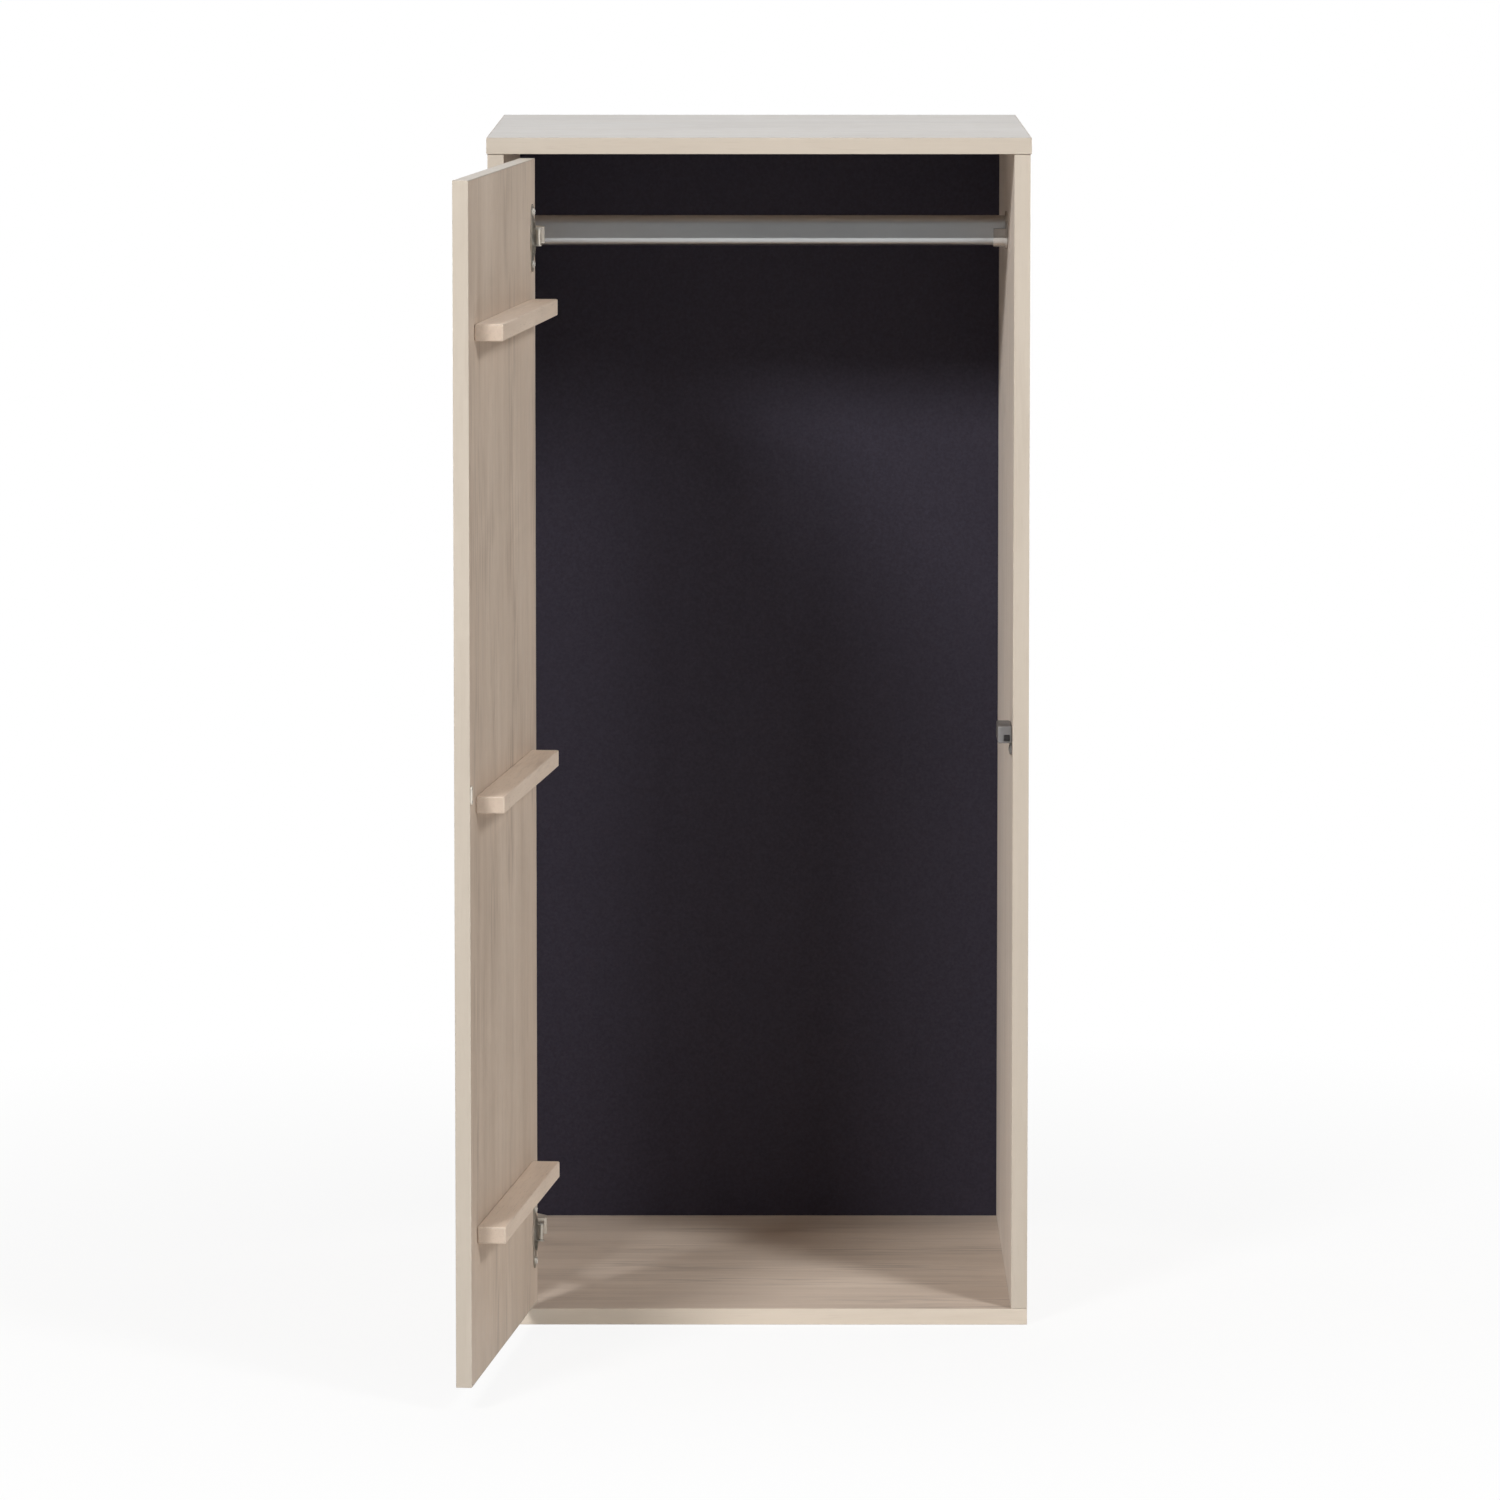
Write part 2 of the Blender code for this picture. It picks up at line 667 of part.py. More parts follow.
def link_geometry():
    """Returns the plan places of both link pins and the link's length and direction at rest.

    The arm's pin lies on the line through the axis that halves the cup pin's swing, so the link reaches
    it exactly both with the door shut and with the door open.
    """
    cup_pin = Vector((DOOR_LEFT + CUP_PIN_FROM_DOOR_EDGE, DOOR_FACE + CUP_PIN_ABOVE_FACE, 0.0))
    reach = (cup_pin - AXIS).length
    halfway = swing(cup_pin, OPEN_ANGLE / 2)
    arm_reach = reach + LINK_HALF_WIDTH + NOSE_RADIUS + PASSING_CLEARANCE
    arm_pin = AXIS + (halfway - AXIS).normalized() * arm_reach
    along = arm_pin - swing(cup_pin, OPEN_ANGLE)
    return cup_pin, arm_pin, along.length, math.atan2(along.y, along.x)


def ear_outline(upward):
    """Returns the outline of the ear above (1) or below (-1) a cup's flange."""
    inside = CUP_RADIUS
    near = FLANGE_OFFSET - FLANGE_WIDTH / 2
    far = FLANGE_OFFSET + FLANGE_WIDTH / 2
    near_angle = math.degrees(math.acos(near / inside))
    far_angle = math.degrees(math.acos(far / inside))
    ear_radius = FLANGE_WIDTH / 2
    ear_reach = FLANGE_LENGTH / 2 - ear_radius
    points = arc((0.0, 0.0), inside, near_angle, far_angle)
    points += arc((FLANGE_OFFSET, ear_reach), ear_radius, 0.0, 180.0)
    return [(CUP_X + along, upward * up) for along, up in points]


def build_hinge_cup(level, frame, cup_pin):
    """Makes one hinge cup: bowl, flange and the two lugs that carry the link's pin."""
    name = level + "_hinge_cup"
    seat = DOOR_FACE + FIT
    rim = seat + FLANGE_THICKNESS
    low = DOOR_FACE - CUP_DEPTH
    flange_middle = (seat + rim) / 2
    flange_radius = CUP_RADIUS + FLANGE_RIM
    bowl_radius = CUP_RADIUS - CUP_WALL
    profile = [
        (CUP_RADIUS, low),
        (CUP_RADIUS, seat),
        (flange_radius, seat),
        (flange_radius, rim),
        (bowl_radius, rim),
        (bowl_radius, low + CUP_WALL),
    ]
    cup = spun(name, profile, (CUP_X, 0.0), frame)
    for place, upward in (("upper", 1), ("lower", -1)):
        ear = plate(
            name + "_" + place + "_ear",
            "XZ",
            [ear_outline(upward)],
            seat + EAR_STEP,
            rim - EAR_STEP,
            frame,
        )
        join(cup, ear)
    lug_base = DOOR_LEFT + CUP_EDGE_MARGIN
    lug_outline = arc((cup_pin.x, cup_pin.y), LUG_RADIUS, 0.0, 180.0)
    lug_outline += [(lug_base, flange_middle), (cup_pin.x + LUG_RADIUS, flange_middle)]
    lug_inner = NOSE_HALF + FIT + LINK_SHEET + FIT
    lug_outer = lug_inner + LUG_SHEET
    for place, start in (("upper", lug_inner), ("lower", -lug_outer)):
        lug = plate(
            name + "_" + place + "_lug",
            "XY",
            [lug_outline],
            start,
            start + LUG_SHEET,
            frame,
        )
        join(cup, lug)
    eye = rod(
        name + "_eye",
        "Z",
        cup_pin,
        -lug_outer - FIT,
        lug_outer + FIT,
        CUP_PIN_RADIUS + RUNNING,
        frame,
        PIN_SEGMENTS,
    )
    piece(cut(cup, eye), NICKEL)
    pin = rod(
        level + "_cup_pin",
        "Z",
        cup_pin,
        -lug_outer,
        lug_outer,
        CUP_PIN_RADIUS,
        frame,
        PIN_SEGMENTS,
    )
    piece(pin, PIN_STEEL)


def build_hinge_link(level, holder, cup_pin, length, turn):
    """Makes the forked link: a web on the cup's pin and two cheeks that reach the arm's pin."""
    frame = carrier_empty(
        level + "_link_axis",
        Vector((0.0, 0.0, 0.0)),
        cup_pin - AXIS,
        turn + OPEN_ANGLE,
        holder,
    )
    name = level + "_hinge_link"
    inner = NOSE_HALF + FIT
    outer = inner + LINK_SHEET
    outline = arc((0.0, 0.0), LINK_HALF_WIDTH, 90.0, 270.0)
    outline += arc((length, 0.0), LINK_HALF_WIDTH, -90.0, 90.0)
    link = plate(name, "XY", [outline], -outer, outer, frame)
    gap = box(
        name + "_gap",
        (LINK_HALF_WIDTH, -2 * LINK_HALF_WIDTH, -inner),
        (length + 2 * LINK_HALF_WIDTH, 2 * LINK_HALF_WIDTH, inner),
        frame,
    )
    cup_eye = rod(
        name + "_cup_eye",
        "Z",
        (0.0, 0.0, 0.0),
        -2 * outer,
        2 * outer,
        CUP_PIN_RADIUS + RUNNING,
        frame,
        PIN_SEGMENTS,
    )
    arm_eye = rod(
        name + "_arm_eye",
        "Z",
        (length, 0.0, 0.0),
        -2 * outer,
        2 * outer,
        ARM_PIN_RADIUS + RUNNING,
        frame,
        PIN_SEGMENTS,
    )
    piece(cut(link, gap, cup_eye, arm_eye), NICKEL)


def arm_outline(top_drop, base_drop, front, end):
    """Returns the arm's side outline, lowered at its top and base by the given amounts."""
    high = INNER_LEFT + ARM_HEIGHT_FRONT - top_drop
    low = INNER_LEFT + ARM_HEIGHT_BACK - top_drop
    high_base = INNER_LEFT + ARM_HEIGHT_FRONT - ARM_FLANK - base_drop
    low_base = INNER_LEFT + ARM_HEIGHT_BACK - ARM_FLANK - base_drop
    return [
        (high_base, front),
        (high - ARM_CHAMFER, front),
        (high, front + ARM_CHAMFER),
        (high, FRONT + ARM_CRANK_START),
        (low, FRONT + ARM_CRANK_END),
        (low, end),
        (low_base, end),
        (low_base, FRONT + ARM_CRANK_END),
        (high_base, FRONT + ARM_CRANK_START),
    ]


def screw_places():
    """Returns the name and Y place of the two adjusting screws of a hinge arm."""
    end = FRONT + ARM_END
    return {"clamp": end - CLAMP_SCREW_FROM_END, "side": end - SIDE_SCREW_FROM_END}


def build_hinge_arm(level, frame, arm_pin):
    """Makes the cranked channel, the tongue at its nose and the pin in the tongue."""
    name = level + "_hinge_arm"
    front = FRONT + ARM_START
    end = FRONT + ARM_END
    arm = plate(name, "XY", [arm_outline(0.0, 0.0, front, end)], -ARM_HALF, ARM_HALF, frame)
    channel_half = ARM_HALF - ARM_SHEET
    channel = plate(
        name + "_channel",
        "XY",
        [arm_outline(ARM_SHEET, ARM_FLANK, front + ARM_SHEET, end + ARM_SHEET)],
        -channel_half,
        channel_half,
        frame,
    )
    web_middle = INNER_LEFT + ARM_HEIGHT_FRONT - ARM_SHEET / 2
    tongue_outline = arc((arm_pin.x, arm_pin.y), NOSE_RADIUS, 180.0, 360.0)
    tongue_outline += [
        (arm_pin.x + NOSE_RADIUS, front),
        (web_middle, front + 2 * ARM_CHAMFER),
        (web_middle, FRONT + TONGUE_END),
        (arm_pin.x - NOSE_RADIUS, FRONT + TONGUE_END),
    ]
    tongue = plate(name + "_tongue", "XY", [tongue_outline], -NOSE_HALF, NOSE_HALF, frame)
    eye = rod(
        name + "_eye",
        "Z",
        arm_pin,
        -2 * NOSE_HALF,
        2 * NOSE_HALF,
        ARM_PIN_RADIUS + RUNNING,
        frame,
        PIN_SEGMENTS,
    )
    cut(arm, channel)
    join(arm, tongue)
    cut(arm, eye)
    web_top = INNER_LEFT + ARM_HEIGHT_BACK
    for use, y in screw_places().items():
        hole = rod(
            name + "_" + use + "_hole",
            "X",
            (0.0, y, 0.0),
            web_top - 2 * ARM_SHEET,
            web_top + 2 * ARM_SHEET,
            SCREW_SHANK_RADIUS + FIT,
            frame,
            PIN_SEGMENTS,
        )
        cut(arm, hole)
    piece(arm, NICKEL)
    pin = rod(
        level + "_arm_pin",
        "Z",
        arm_pin,
        -NOSE_HALF,
        NOSE_HALF,
        ARM_PIN_RADIUS,
        frame,
        PIN_SEGMENTS,
    )
    piece(pin, PIN_STEEL)


def build_hinge_plate(level, frame):
    """Makes the winged plate on the side panel, the block that the arm sits on and the two screws."""
    name = level + "_hinge_plate"
    seat = INNER_LEFT + FIT
    face = seat + PLATE_THICKNESS
    web_top = INNER_LEFT + ARM_HEIGHT_BACK
    block_top = web_top - ARM_SHEET - FIT
    end = FRONT + ARM_END
    start = FRONT + PLATE_START
    wing_middle = start + WING_WIDTH / 2
    bar_middle = (start + end + PLATE_OVERRUN) / 2
    bar_length = end + PLATE_OVERRUN - start
    wing_outline = rounded_rectangle((wing_middle, 0.0), WING_WIDTH, 2 * WING_HALF, WING_WIDTH / 2 - FIT)
    bar_outline = rounded_rectangle((bar_middle, 0.0), bar_length, 2 * PLATE_HALF, PLATE_THICKNESS)
    base = plate(name, "YZ", [wing_outline], seat, face, frame)
    bar = plate(name + "_bar", "YZ", [bar_outline], seat + EAR_STEP, face - EAR_STEP, frame)
    block_half = ARM_HALF - ARM_SHEET - FIT
    block = box(
        name + "_block",
        (seat + PLATE_THICKNESS / 2, end - BLOCK_LENGTH, -block_half),
        (block_top, end - FIT, block_half),
        frame,
    )
    join(base, bar, block)
    head_seat = web_top + FIT
    tip = head_seat - SCREW_SHANK_LENGTH
    profile = [
        (0.0, SCREW_HEAD_HEIGHT),
        (SCREW_HEAD_RADIUS, SCREW_HEAD_HEIGHT),
        (SCREW_HEAD_RADIUS, 0.0),
        (SCREW_SHANK_RADIUS, 0.0),
        (SCREW_SHANK_RADIUS, -SCREW_SHANK_LENGTH),
        (0.0, -SCREW_SHANK_LENGTH),
    ]
    for use, y in screw_places().items():
        hole = rod(
            name + "_" + use + "_hole",
            "X",
            (0.0, y, 0.0),
            tip - FIT,
            block_top + ARM_SHEET,
            SCREW_SHANK_RADIUS + FIT,
            frame,
            PIN_SEGMENTS,
        )
        cut(base, hole)
        screw = turned("_".join((level, "hinge", use, "screw")), profile, (head_seat, y, 0.0), frame)
        piece(screw, PIN_STEEL)
    piece(base, NICKEL)


def build_hinges():
    """Makes both hinges."""
    cup_pin, arm_pin, length, turn = link_geometry()
    origin = Vector((0.0, 0.0, 0.0))
    for level, height in HINGES.items():
        place = Vector((0.0, 0.0, height))
        on_door = carrier_empty(level + "_cup_frame", AXIS, place, 0.0, door["empty"])
        on_side = carrier_empty(level + "_arm_frame", origin, place, 0.0)
        build_hinge_cup(level, on_door, cup_pin)
        build_hinge_link(level, on_door["empty"], cup_pin, length, turn)
        build_hinge_arm(level, on_side, arm_pin)
        build_hinge_plate(level, on_side)


def build_latch():
    """Makes the push latch: housing with its foot and bore, and the plunger that slides in it."""
    right = INNER_RIGHT - FIT
    low = LATCH_Z - LATCH_HEIGHT / 2
    housing = box(
        "latch_housing",
        (right - LATCH_REACH, LATCH_FRONT, low),
        (right, LATCH_FRONT + LATCH_LENGTH, low + LATCH_HEIGHT),
    )
    round_edges(housing, LATCH_ROUND)
    foot_middle = LATCH_FRONT + LATCH_FOOT_BEHIND_FACE + LATCH_FOOT_WIDTH / 2
    foot_outline = rounded_rectangle(
        (foot_middle, LATCH_Z - LATCH_FOOT_DROP / 2), LATCH_FOOT_WIDTH, LATCH_FOOT_DROP, LATCH_FOOT_WIDTH / 4
    )
    foot = plate("latch_foot", "YZ", [foot_outline], right - LATCH_FOOT_THICKNESS, right)
    half_width = PLUNGER_WIDTH / 2
    half_height = PLUNGER_HEIGHT / 2
    bore_end = PLUNGER_TIP + PLUNGER_LENGTH + PLUNGER_SPARE_BORE
    bore = box(
        "latch_bore",
        (PLUNGER_X - half_width - FIT, LATCH_FRONT - LATCH_ROUND, PLUNGER_Z - half_height - FIT),
        (PLUNGER_X + half_width + FIT, bore_end, PLUNGER_Z + half_height + FIT),
    )
    join(housing, foot)
    piece(cut(housing, bore), LATCH_GREY)

    plunger = box(
        "latch_plunger",
        (-half_width, 0.0, -half_height),
        (half_width, PLUNGER_LENGTH, half_height),
    )
    plunger.location = (PLUNGER_X, PLUNGER_TIP, PLUNGER_Z)
    piece(round_edges(plunger, PLUNGER_STANDOUT / 3), PLUNGER_BLACK)


clear_scene()
parts = new_collection("wardrobe")
cutters = new_collection("wardrobe_cutters")
door = carrier_empty("door_axis", AXIS, AXIS, -OPEN_ANGLE)
build_carcass_boards()
build_back_panel()
build_dowels()
build_edging()
build_rail()
build_door()
build_hinges()
build_latch()
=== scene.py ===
"""Looks of the wardrobe: finishes, small fasteners, studio and camera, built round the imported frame.

Lengths are metres in the frame's own axes: X to the right, Y from the open front into the carcass, Z up.
"""
import json
import logging
import math
from dataclasses import dataclass, field
from enum import Enum
from typing import Dict, Sequence, Tuple, Union

import bpy
import numpy as np
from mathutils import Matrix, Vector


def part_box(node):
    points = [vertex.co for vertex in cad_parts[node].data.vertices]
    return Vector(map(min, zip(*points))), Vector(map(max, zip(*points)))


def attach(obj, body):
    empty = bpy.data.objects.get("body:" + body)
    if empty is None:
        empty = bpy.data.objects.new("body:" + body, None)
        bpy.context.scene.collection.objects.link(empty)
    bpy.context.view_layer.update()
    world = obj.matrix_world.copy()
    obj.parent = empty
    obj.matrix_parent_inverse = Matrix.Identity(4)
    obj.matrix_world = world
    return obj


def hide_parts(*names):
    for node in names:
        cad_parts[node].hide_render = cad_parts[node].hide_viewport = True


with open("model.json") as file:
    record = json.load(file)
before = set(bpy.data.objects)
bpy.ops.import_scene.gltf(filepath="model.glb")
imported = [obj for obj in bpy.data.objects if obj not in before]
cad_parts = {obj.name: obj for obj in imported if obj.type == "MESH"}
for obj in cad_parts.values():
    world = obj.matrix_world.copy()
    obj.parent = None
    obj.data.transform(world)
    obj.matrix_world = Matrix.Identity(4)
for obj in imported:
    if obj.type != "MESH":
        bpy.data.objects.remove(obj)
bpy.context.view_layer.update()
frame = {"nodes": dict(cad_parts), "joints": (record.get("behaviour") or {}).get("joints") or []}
LOG = logging.getLogger("wardrobe")

Colour = Tuple[float, float, float]
Triple = Tuple[float, float, float]
Range = Tuple[float, float]
Socket = bpy.types.NodeSocket
Value = Union[Socket, float, Sequence[float]]


class GrainAxis(Enum):
    """The way the wood's fibres run, as the turn that brings that axis upright."""

    ALONG_X = (0.0, -math.pi / 2, 0.0)
    ALONG_Y = (math.pi / 2, 0.0, 0.0)
    ALONG_Z = (0.0, 0.0, 0.0)


class Level(Enum):
    """The two hinges of the door."""

    UPPER = "upper"
    LOWER = "lower"


class Wiring:
    """Adds nodes to one shader tree and links them."""

    def __init__(self, tree: bpy.types.NodeTree) -> None:
        """Keeps the tree that the nodes go into."""
        self.tree = tree

    def node(self, kind: str) -> bpy.types.Node:
        """Returns a new node of a kind."""
        return self.tree.nodes.new(kind)

    def feed(self, socket: Socket, value: Value) -> None:
        """Links a socket to another one, or sets its plain value.

        Args:
            socket: The input to fill.
            value: An output socket, a number or a list of numbers.
        """
        if isinstance(value, bpy.types.NodeSocket):
            self.tree.links.new(value, socket)
            return
        socket.default_value = value

    def calc(self, operation: str, first: Value, second: Value = 0.0) -> Socket:
        """Returns the result of a sum on two values.

        Args:
            operation: The name of the sum, such as MULTIPLY.
            first: The first value.
            second: The second value.

        Returns:
            The output that carries the result.
        """
        node = self.node("ShaderNodeMath")
        node.operation = operation
        self.feed(node.inputs[0], first)
        self.feed(node.inputs[1], second)
        return node.outputs[0]

    def vector(self, operation: str, first: Value, second: Value) -> Socket:
        """Returns the result of a sum on two vectors.

        Args:
            operation: The name of the sum, such as MULTIPLY.
            first: The first vector.
            second: The second vector.

        Returns:
            The output that carries the result.
        """
        node = self.node("ShaderNodeVectorMath")
        node.operation = operation
        self.feed(node.inputs[0], first)
        self.feed(node.inputs[1], second)
        return node.outputs[0]

    def parts(self, vector: Value) -> Dict[str, Socket]:
        """Splits a vector.

        Args:
            vector: The vector to split.

        Returns:
            The outputs that carry its parts, by the axes' names.
        """
        node = self.node("ShaderNodeSeparateXYZ")
        self.feed(node.inputs[0], vector)
        return {axis: node.outputs[axis] for axis in "XYZ"}

    def span(
        self, value: Value, low: float, high: float, to_low: float = 0.0, to_high: float = 1.0
    ) -> Socket:
        """Returns a value carried from one range to another and kept inside it.

        Args:
            value: The value to carry over.
            low: Start of the first range.
            high: End of the first range.
            to_low: Start of the second range.
            to_high: End of the second range.

        Returns:
            The value in the second range.
        """
        node = self.node("ShaderNodeMapRange")
        node.clamp = True
        self.feed(node.inputs["Value"], value)
        node.inputs["From Min"].default_value = low
        node.inputs["From Max"].default_value = high
        node.inputs["To Min"].default_value = to_low
        node.inputs["To Max"].default_value = to_high
        return node.outputs["Result"]

    def mix(self, share: Value, first: Value, second: Value) -> Socket:
        """Returns a blend of two colours.

        Args:
            share: How much of the second colour, from 0 to 1.
            first: The first colour.
            second: The second colour.

        Returns:
            The blended colour.
        """
        node = self.node("ShaderNodeMix")
        node.data_type = "RGBA"
        self.feed(node.inputs[0], share)
        for socket, value in ((node.inputs[6], first), (node.inputs[7], second)):
            colour = value if isinstance(value, bpy.types.NodeSocket) else (*value, 1.0)
            self.feed(socket, colour)
        return node.outputs[2]


@dataclass(frozen=True)
class Noise:
    """A soft noise, read in a space that is scaled along each axis."""

    scale: float
    detail: float
    roughness: float = 0.5
    stretch: Triple = (1.0, 1.0, 1.0)

    def read(self, wiring: Wiring, place: Value) -> Socket:
        """Adds the noise to a shader tree.

        Args:
            wiring: The tree's wiring.
            place: The vector that the noise is read at.

        Returns:
            The noise, from 0 to 1 about 0.5.
        """
        node = wiring.node("ShaderNodeTexNoise")
        node.inputs["Scale"].default_value = self.scale
        node.inputs["Detail"].default_value = self.detail
        node.inputs["Roughness"].default_value = self.roughness
        wiring.feed(node.inputs["Vector"], wiring.vector("MULTIPLY", place, self.stretch))
        return node.outputs["Fac"]


# Noises of the wood's figure, drawn out along fibres that run along Z.
SLOW_BEND = Noise(5.0, 1.0, stretch=(1.0, 1.0, 0.35))
BANDS = Noise(13.0, 2.0, stretch=(1.0, 1.0, 0.12))
STREAKS = Noise(55.0, 3.0, 0.55, (1.0, 1.0, 0.09))
FIBRES = Noise(520.0, 3.0, 0.6, (1.0, 1.0, 0.03))
PORES = Noise(800.0, 1.0, stretch=(1.0, 1.0, 0.05))
FLECKS = Noise(170.0, 2.0, stretch=(1.0, 1.0, 0.07))
FLECK_PATCHES = Noise(14.0, 1.0, stretch=(1.0, 1.0, 0.30))
# How far the slow noise bends the figure sideways, in metres, and how far apart two seeds' figures are.
BEND_REACH = 0.02
SEED_STEPS: Triple = (3.17, 7.71, 5.39)
# Weights of the noises in the tone, and the stretch of each noise that shows.
BAND_WEIGHT = 0.50
STREAK_WEIGHT = 0.34
FIBRE_WEIGHT = 0.16
TONE_RANGE: Range = (0.30, 0.70)
FLECK_RANGE: Range = (0.44, 0.64)
PATCH_RANGE: Range = (0.50, 0.66)
PORE_RANGE: Range = (0.62, 0.74)

# Noises of the handling marks, and the stretch of their product that shows.
MARK_CLOUDS = Noise(7.0, 2.0)
MARK_SPOTS = Noise(46.0, 3.0)
MARK_RANGE: Range = (0.14, 0.38)

# Noises of drawn metal, drawn out along X, and the stretch of its tone that shows.
DRAWN_LINES = Noise(1800.0, 3.0, 0.6, (0.01, 1.0, 1.0))
DRAWN_TONE = Noise(60.0, 2.0, stretch=(0.1, 1.0, 1.0))
DRAWN_TONE_RANGE: Range = (0.35, 0.70)

# Cells of a chipboard's core in a metre, their stretch, where the gaps between them show, and their colours.
CHIP_SCALE = 420.0
CHIP_STRETCH: Triple = (1.0, 1.0, 0.45)
CHIP_GAP_RANGE: Range = (0.45, 0.75)
CHIP_PALE: Colour = (0.46, 0.33, 0.20)
CHIP_DARK: Colour = (0.27, 0.17, 0.09)
CHIP_GAP: Colour = (0.12, 0.07, 0.04)
CHIP_ROUGHNESS = 0.85
# How squarely a surface faces a way to count as an end, as a raw edge and as the back panel's rear.
SQUARE_ON: Range = (0.8, 0.9)
RAW_EDGE_RANGE: Range = (0.85, 0.95)
REAR_FACE_RANGE: Range = (0.5, 0.9)

# Noises of the hardboard's and the plastic's skin, and the stretch of each tone that shows.
BOARD_TOOTH = Noise(1400.0, 2.0)
BOARD_FLECK = Noise(320.0, 4.0, 0.7)
PLASTIC_TOOTH = Noise(2600.0, 2.0)
PLASTIC_TONE = Noise(90.0, 3.0)
BOARD_TONE_RANGE: Range = (0.35, 0.75)
RAW_TONE_RANGE: Range = (0.3, 0.7)
PLASTIC_TONE_RANGE: Range = (0.3, 0.7)

Group = Tuple[Wiring, Dict[str, Socket], bpy.types.Node]


def new_group(name: str, inputs: Dict[str, str], outputs: Sequence[str]) -> Group:
    """Starts a shader node group.

    Args:
        name: The group's name.
        inputs: Socket type of each input, by name.
        outputs: Names of the outputs, which are all values.

    Returns:
        Wiring for the group, its inputs by name and its output node.
    """
    tree = bpy.data.node_groups.new(name, "ShaderNodeTree")
    for label, kind in inputs.items():
        tree.interface.new_socket(name=label, in_out="INPUT", socket_type=kind)
    for label in outputs:
        tree.interface.new_socket(name=label, in_out="OUTPUT", socket_type="NodeSocketFloat")
    wiring = Wiring(tree)
    start = wiring.node("NodeGroupInput")
    end = wiring.node("NodeGroupOutput")
    return wiring, {label: start.outputs[label] for label in inputs}, end


def wood_figure_group() -> bpy.types.NodeTree:
    """Builds the figure of sawn wood on fibres that run along Z.

    Three noises drawn out along the fibres give broad bands, streaks and single fibres; the tone is their
    weighted sum. Pores are the peaks of a fourth noise, and flecks those of a fifth one, which show only
    where a slow noise is high. The place is first bent sideways by another slow noise.

    Returns:
        The node group.
    """
    wiring, given, end = new_group(
        "wood_figure",
        {"Place": "NodeSocketVector", "Seed": "NodeSocketFloat"},
        ("Tone", "Fibre", "Pores", "Flecks"),
    )
    shift = wiring.node("ShaderNodeCombineXYZ")
    for axis, step in enumerate(SEED_STEPS):
        wiring.feed(shift.inputs[axis], wiring.calc("MULTIPLY", given["Seed"], step))
    place = wiring.vector("ADD", given["Place"], shift.outputs[0])
    bend = wiring.node("ShaderNodeCombineXYZ")
    sideways = wiring.span(SLOW_BEND.read(wiring, place), 0.0, 1.0, -BEND_REACH, BEND_REACH)
    wiring.feed(bend.inputs[0], sideways)
    wiring.feed(bend.inputs[1], sideways)
    place = wiring.vector("ADD", place, bend.outputs[0])
    fibres = FIBRES.read(wiring, place)
    tone = wiring.calc("MULTIPLY", BANDS.read(wiring, place), BAND_WEIGHT)
    tone = wiring.calc("ADD", tone, wiring.calc("MULTIPLY", STREAKS.read(wiring, place), STREAK_WEIGHT))
    tone = wiring.calc("ADD", tone, wiring.calc("MULTIPLY", fibres, FIBRE_WEIGHT))
    wiring.feed(end.inputs["Tone"], wiring.span(tone, *TONE_RANGE))
    flecks = wiring.span(FLECKS.read(wiring, place), *FLECK_RANGE)
    patches = wiring.span(FLECK_PATCHES.read(wiring, place), *PATCH_RANGE)
    wiring.feed(end.inputs["Flecks"], wiring.calc("MULTIPLY", flecks, patches))
    wiring.feed(end.inputs["Fibre"], fibres)
    wiring.feed(end.inputs["Pores"], wiring.span(PORES.read(wiring, place), *PORE_RANGE))
    return wiring.tree


def handling_group() -> bpy.types.NodeTree:
    """Builds the faint cloudy marks that hands and cloths leave: two noises of different size, multiplied.

    Returns:
        The node group.
    """
    wiring, given, end = new_group("handling_marks", {"Place": "NodeSocketVector"}, ("Marks",))
    clouds = MARK_CLOUDS.read(wiring, given["Place"])
    spots = MARK_SPOTS.read(wiring, given["Place"])
    wiring.feed(end.inputs["Marks"], wiring.span(wiring.calc("MULTIPLY", clouds, spots), *MARK_RANGE))
    return wiring.tree


def brushed_group() -> bpy.types.NodeTree:
    """Builds fine lines drawn along X, with a slower change of tone: two noises drawn out along X.

    Returns:
        The node group.
    """
    wiring, given, end = new_group("brushed_lines", {"Place": "NodeSocketVector"}, ("Lines", "Tone"))
    wiring.feed(end.inputs["Lines"], DRAWN_LINES.read(wiring, given["Place"]))
    wiring.feed(end.inputs["Tone"], DRAWN_TONE.read(wiring, given["Place"]))
    return wiring.tree


def chip_core_group() -> bpy.types.NodeTree:
    """Builds the raw core of a chipboard: flat cells of a Voronoi pattern, each with a tone of its own.

    Returns:
        The node group.
    """
    wiring, given, end = new_group("chip_core", {"Place": "NodeSocketVector"}, ("Tone", "Gaps"))
    cells = wiring.node("ShaderNodeTexVoronoi")
    cells.inputs["Scale"].default_value = CHIP_SCALE
    wiring.feed(cells.inputs["Vector"], wiring.vector("MULTIPLY", given["Place"], CHIP_STRETCH))
    split = wiring.node("ShaderNodeSeparateColor")
    wiring.feed(split.inputs[0], cells.outputs["Color"])
    wiring.feed(end.inputs["Tone"], split.outputs[0])
    wiring.feed(end.inputs["Gaps"], wiring.span(cells.outputs["Distance"], *CHIP_GAP_RANGE))
    return wiring.tree


GROUPS: Dict[str, bpy.types.NodeTree] = {}


def make_groups() -> None:
    """Builds every shared node group once."""
    GROUPS["wood_figure"] = wood_figure_group()
    GROUPS["handling_marks"] = handling_group()
    GROUPS["brushed_lines"] = brushed_group()
    GROUPS["chip_core"] = chip_core_group()


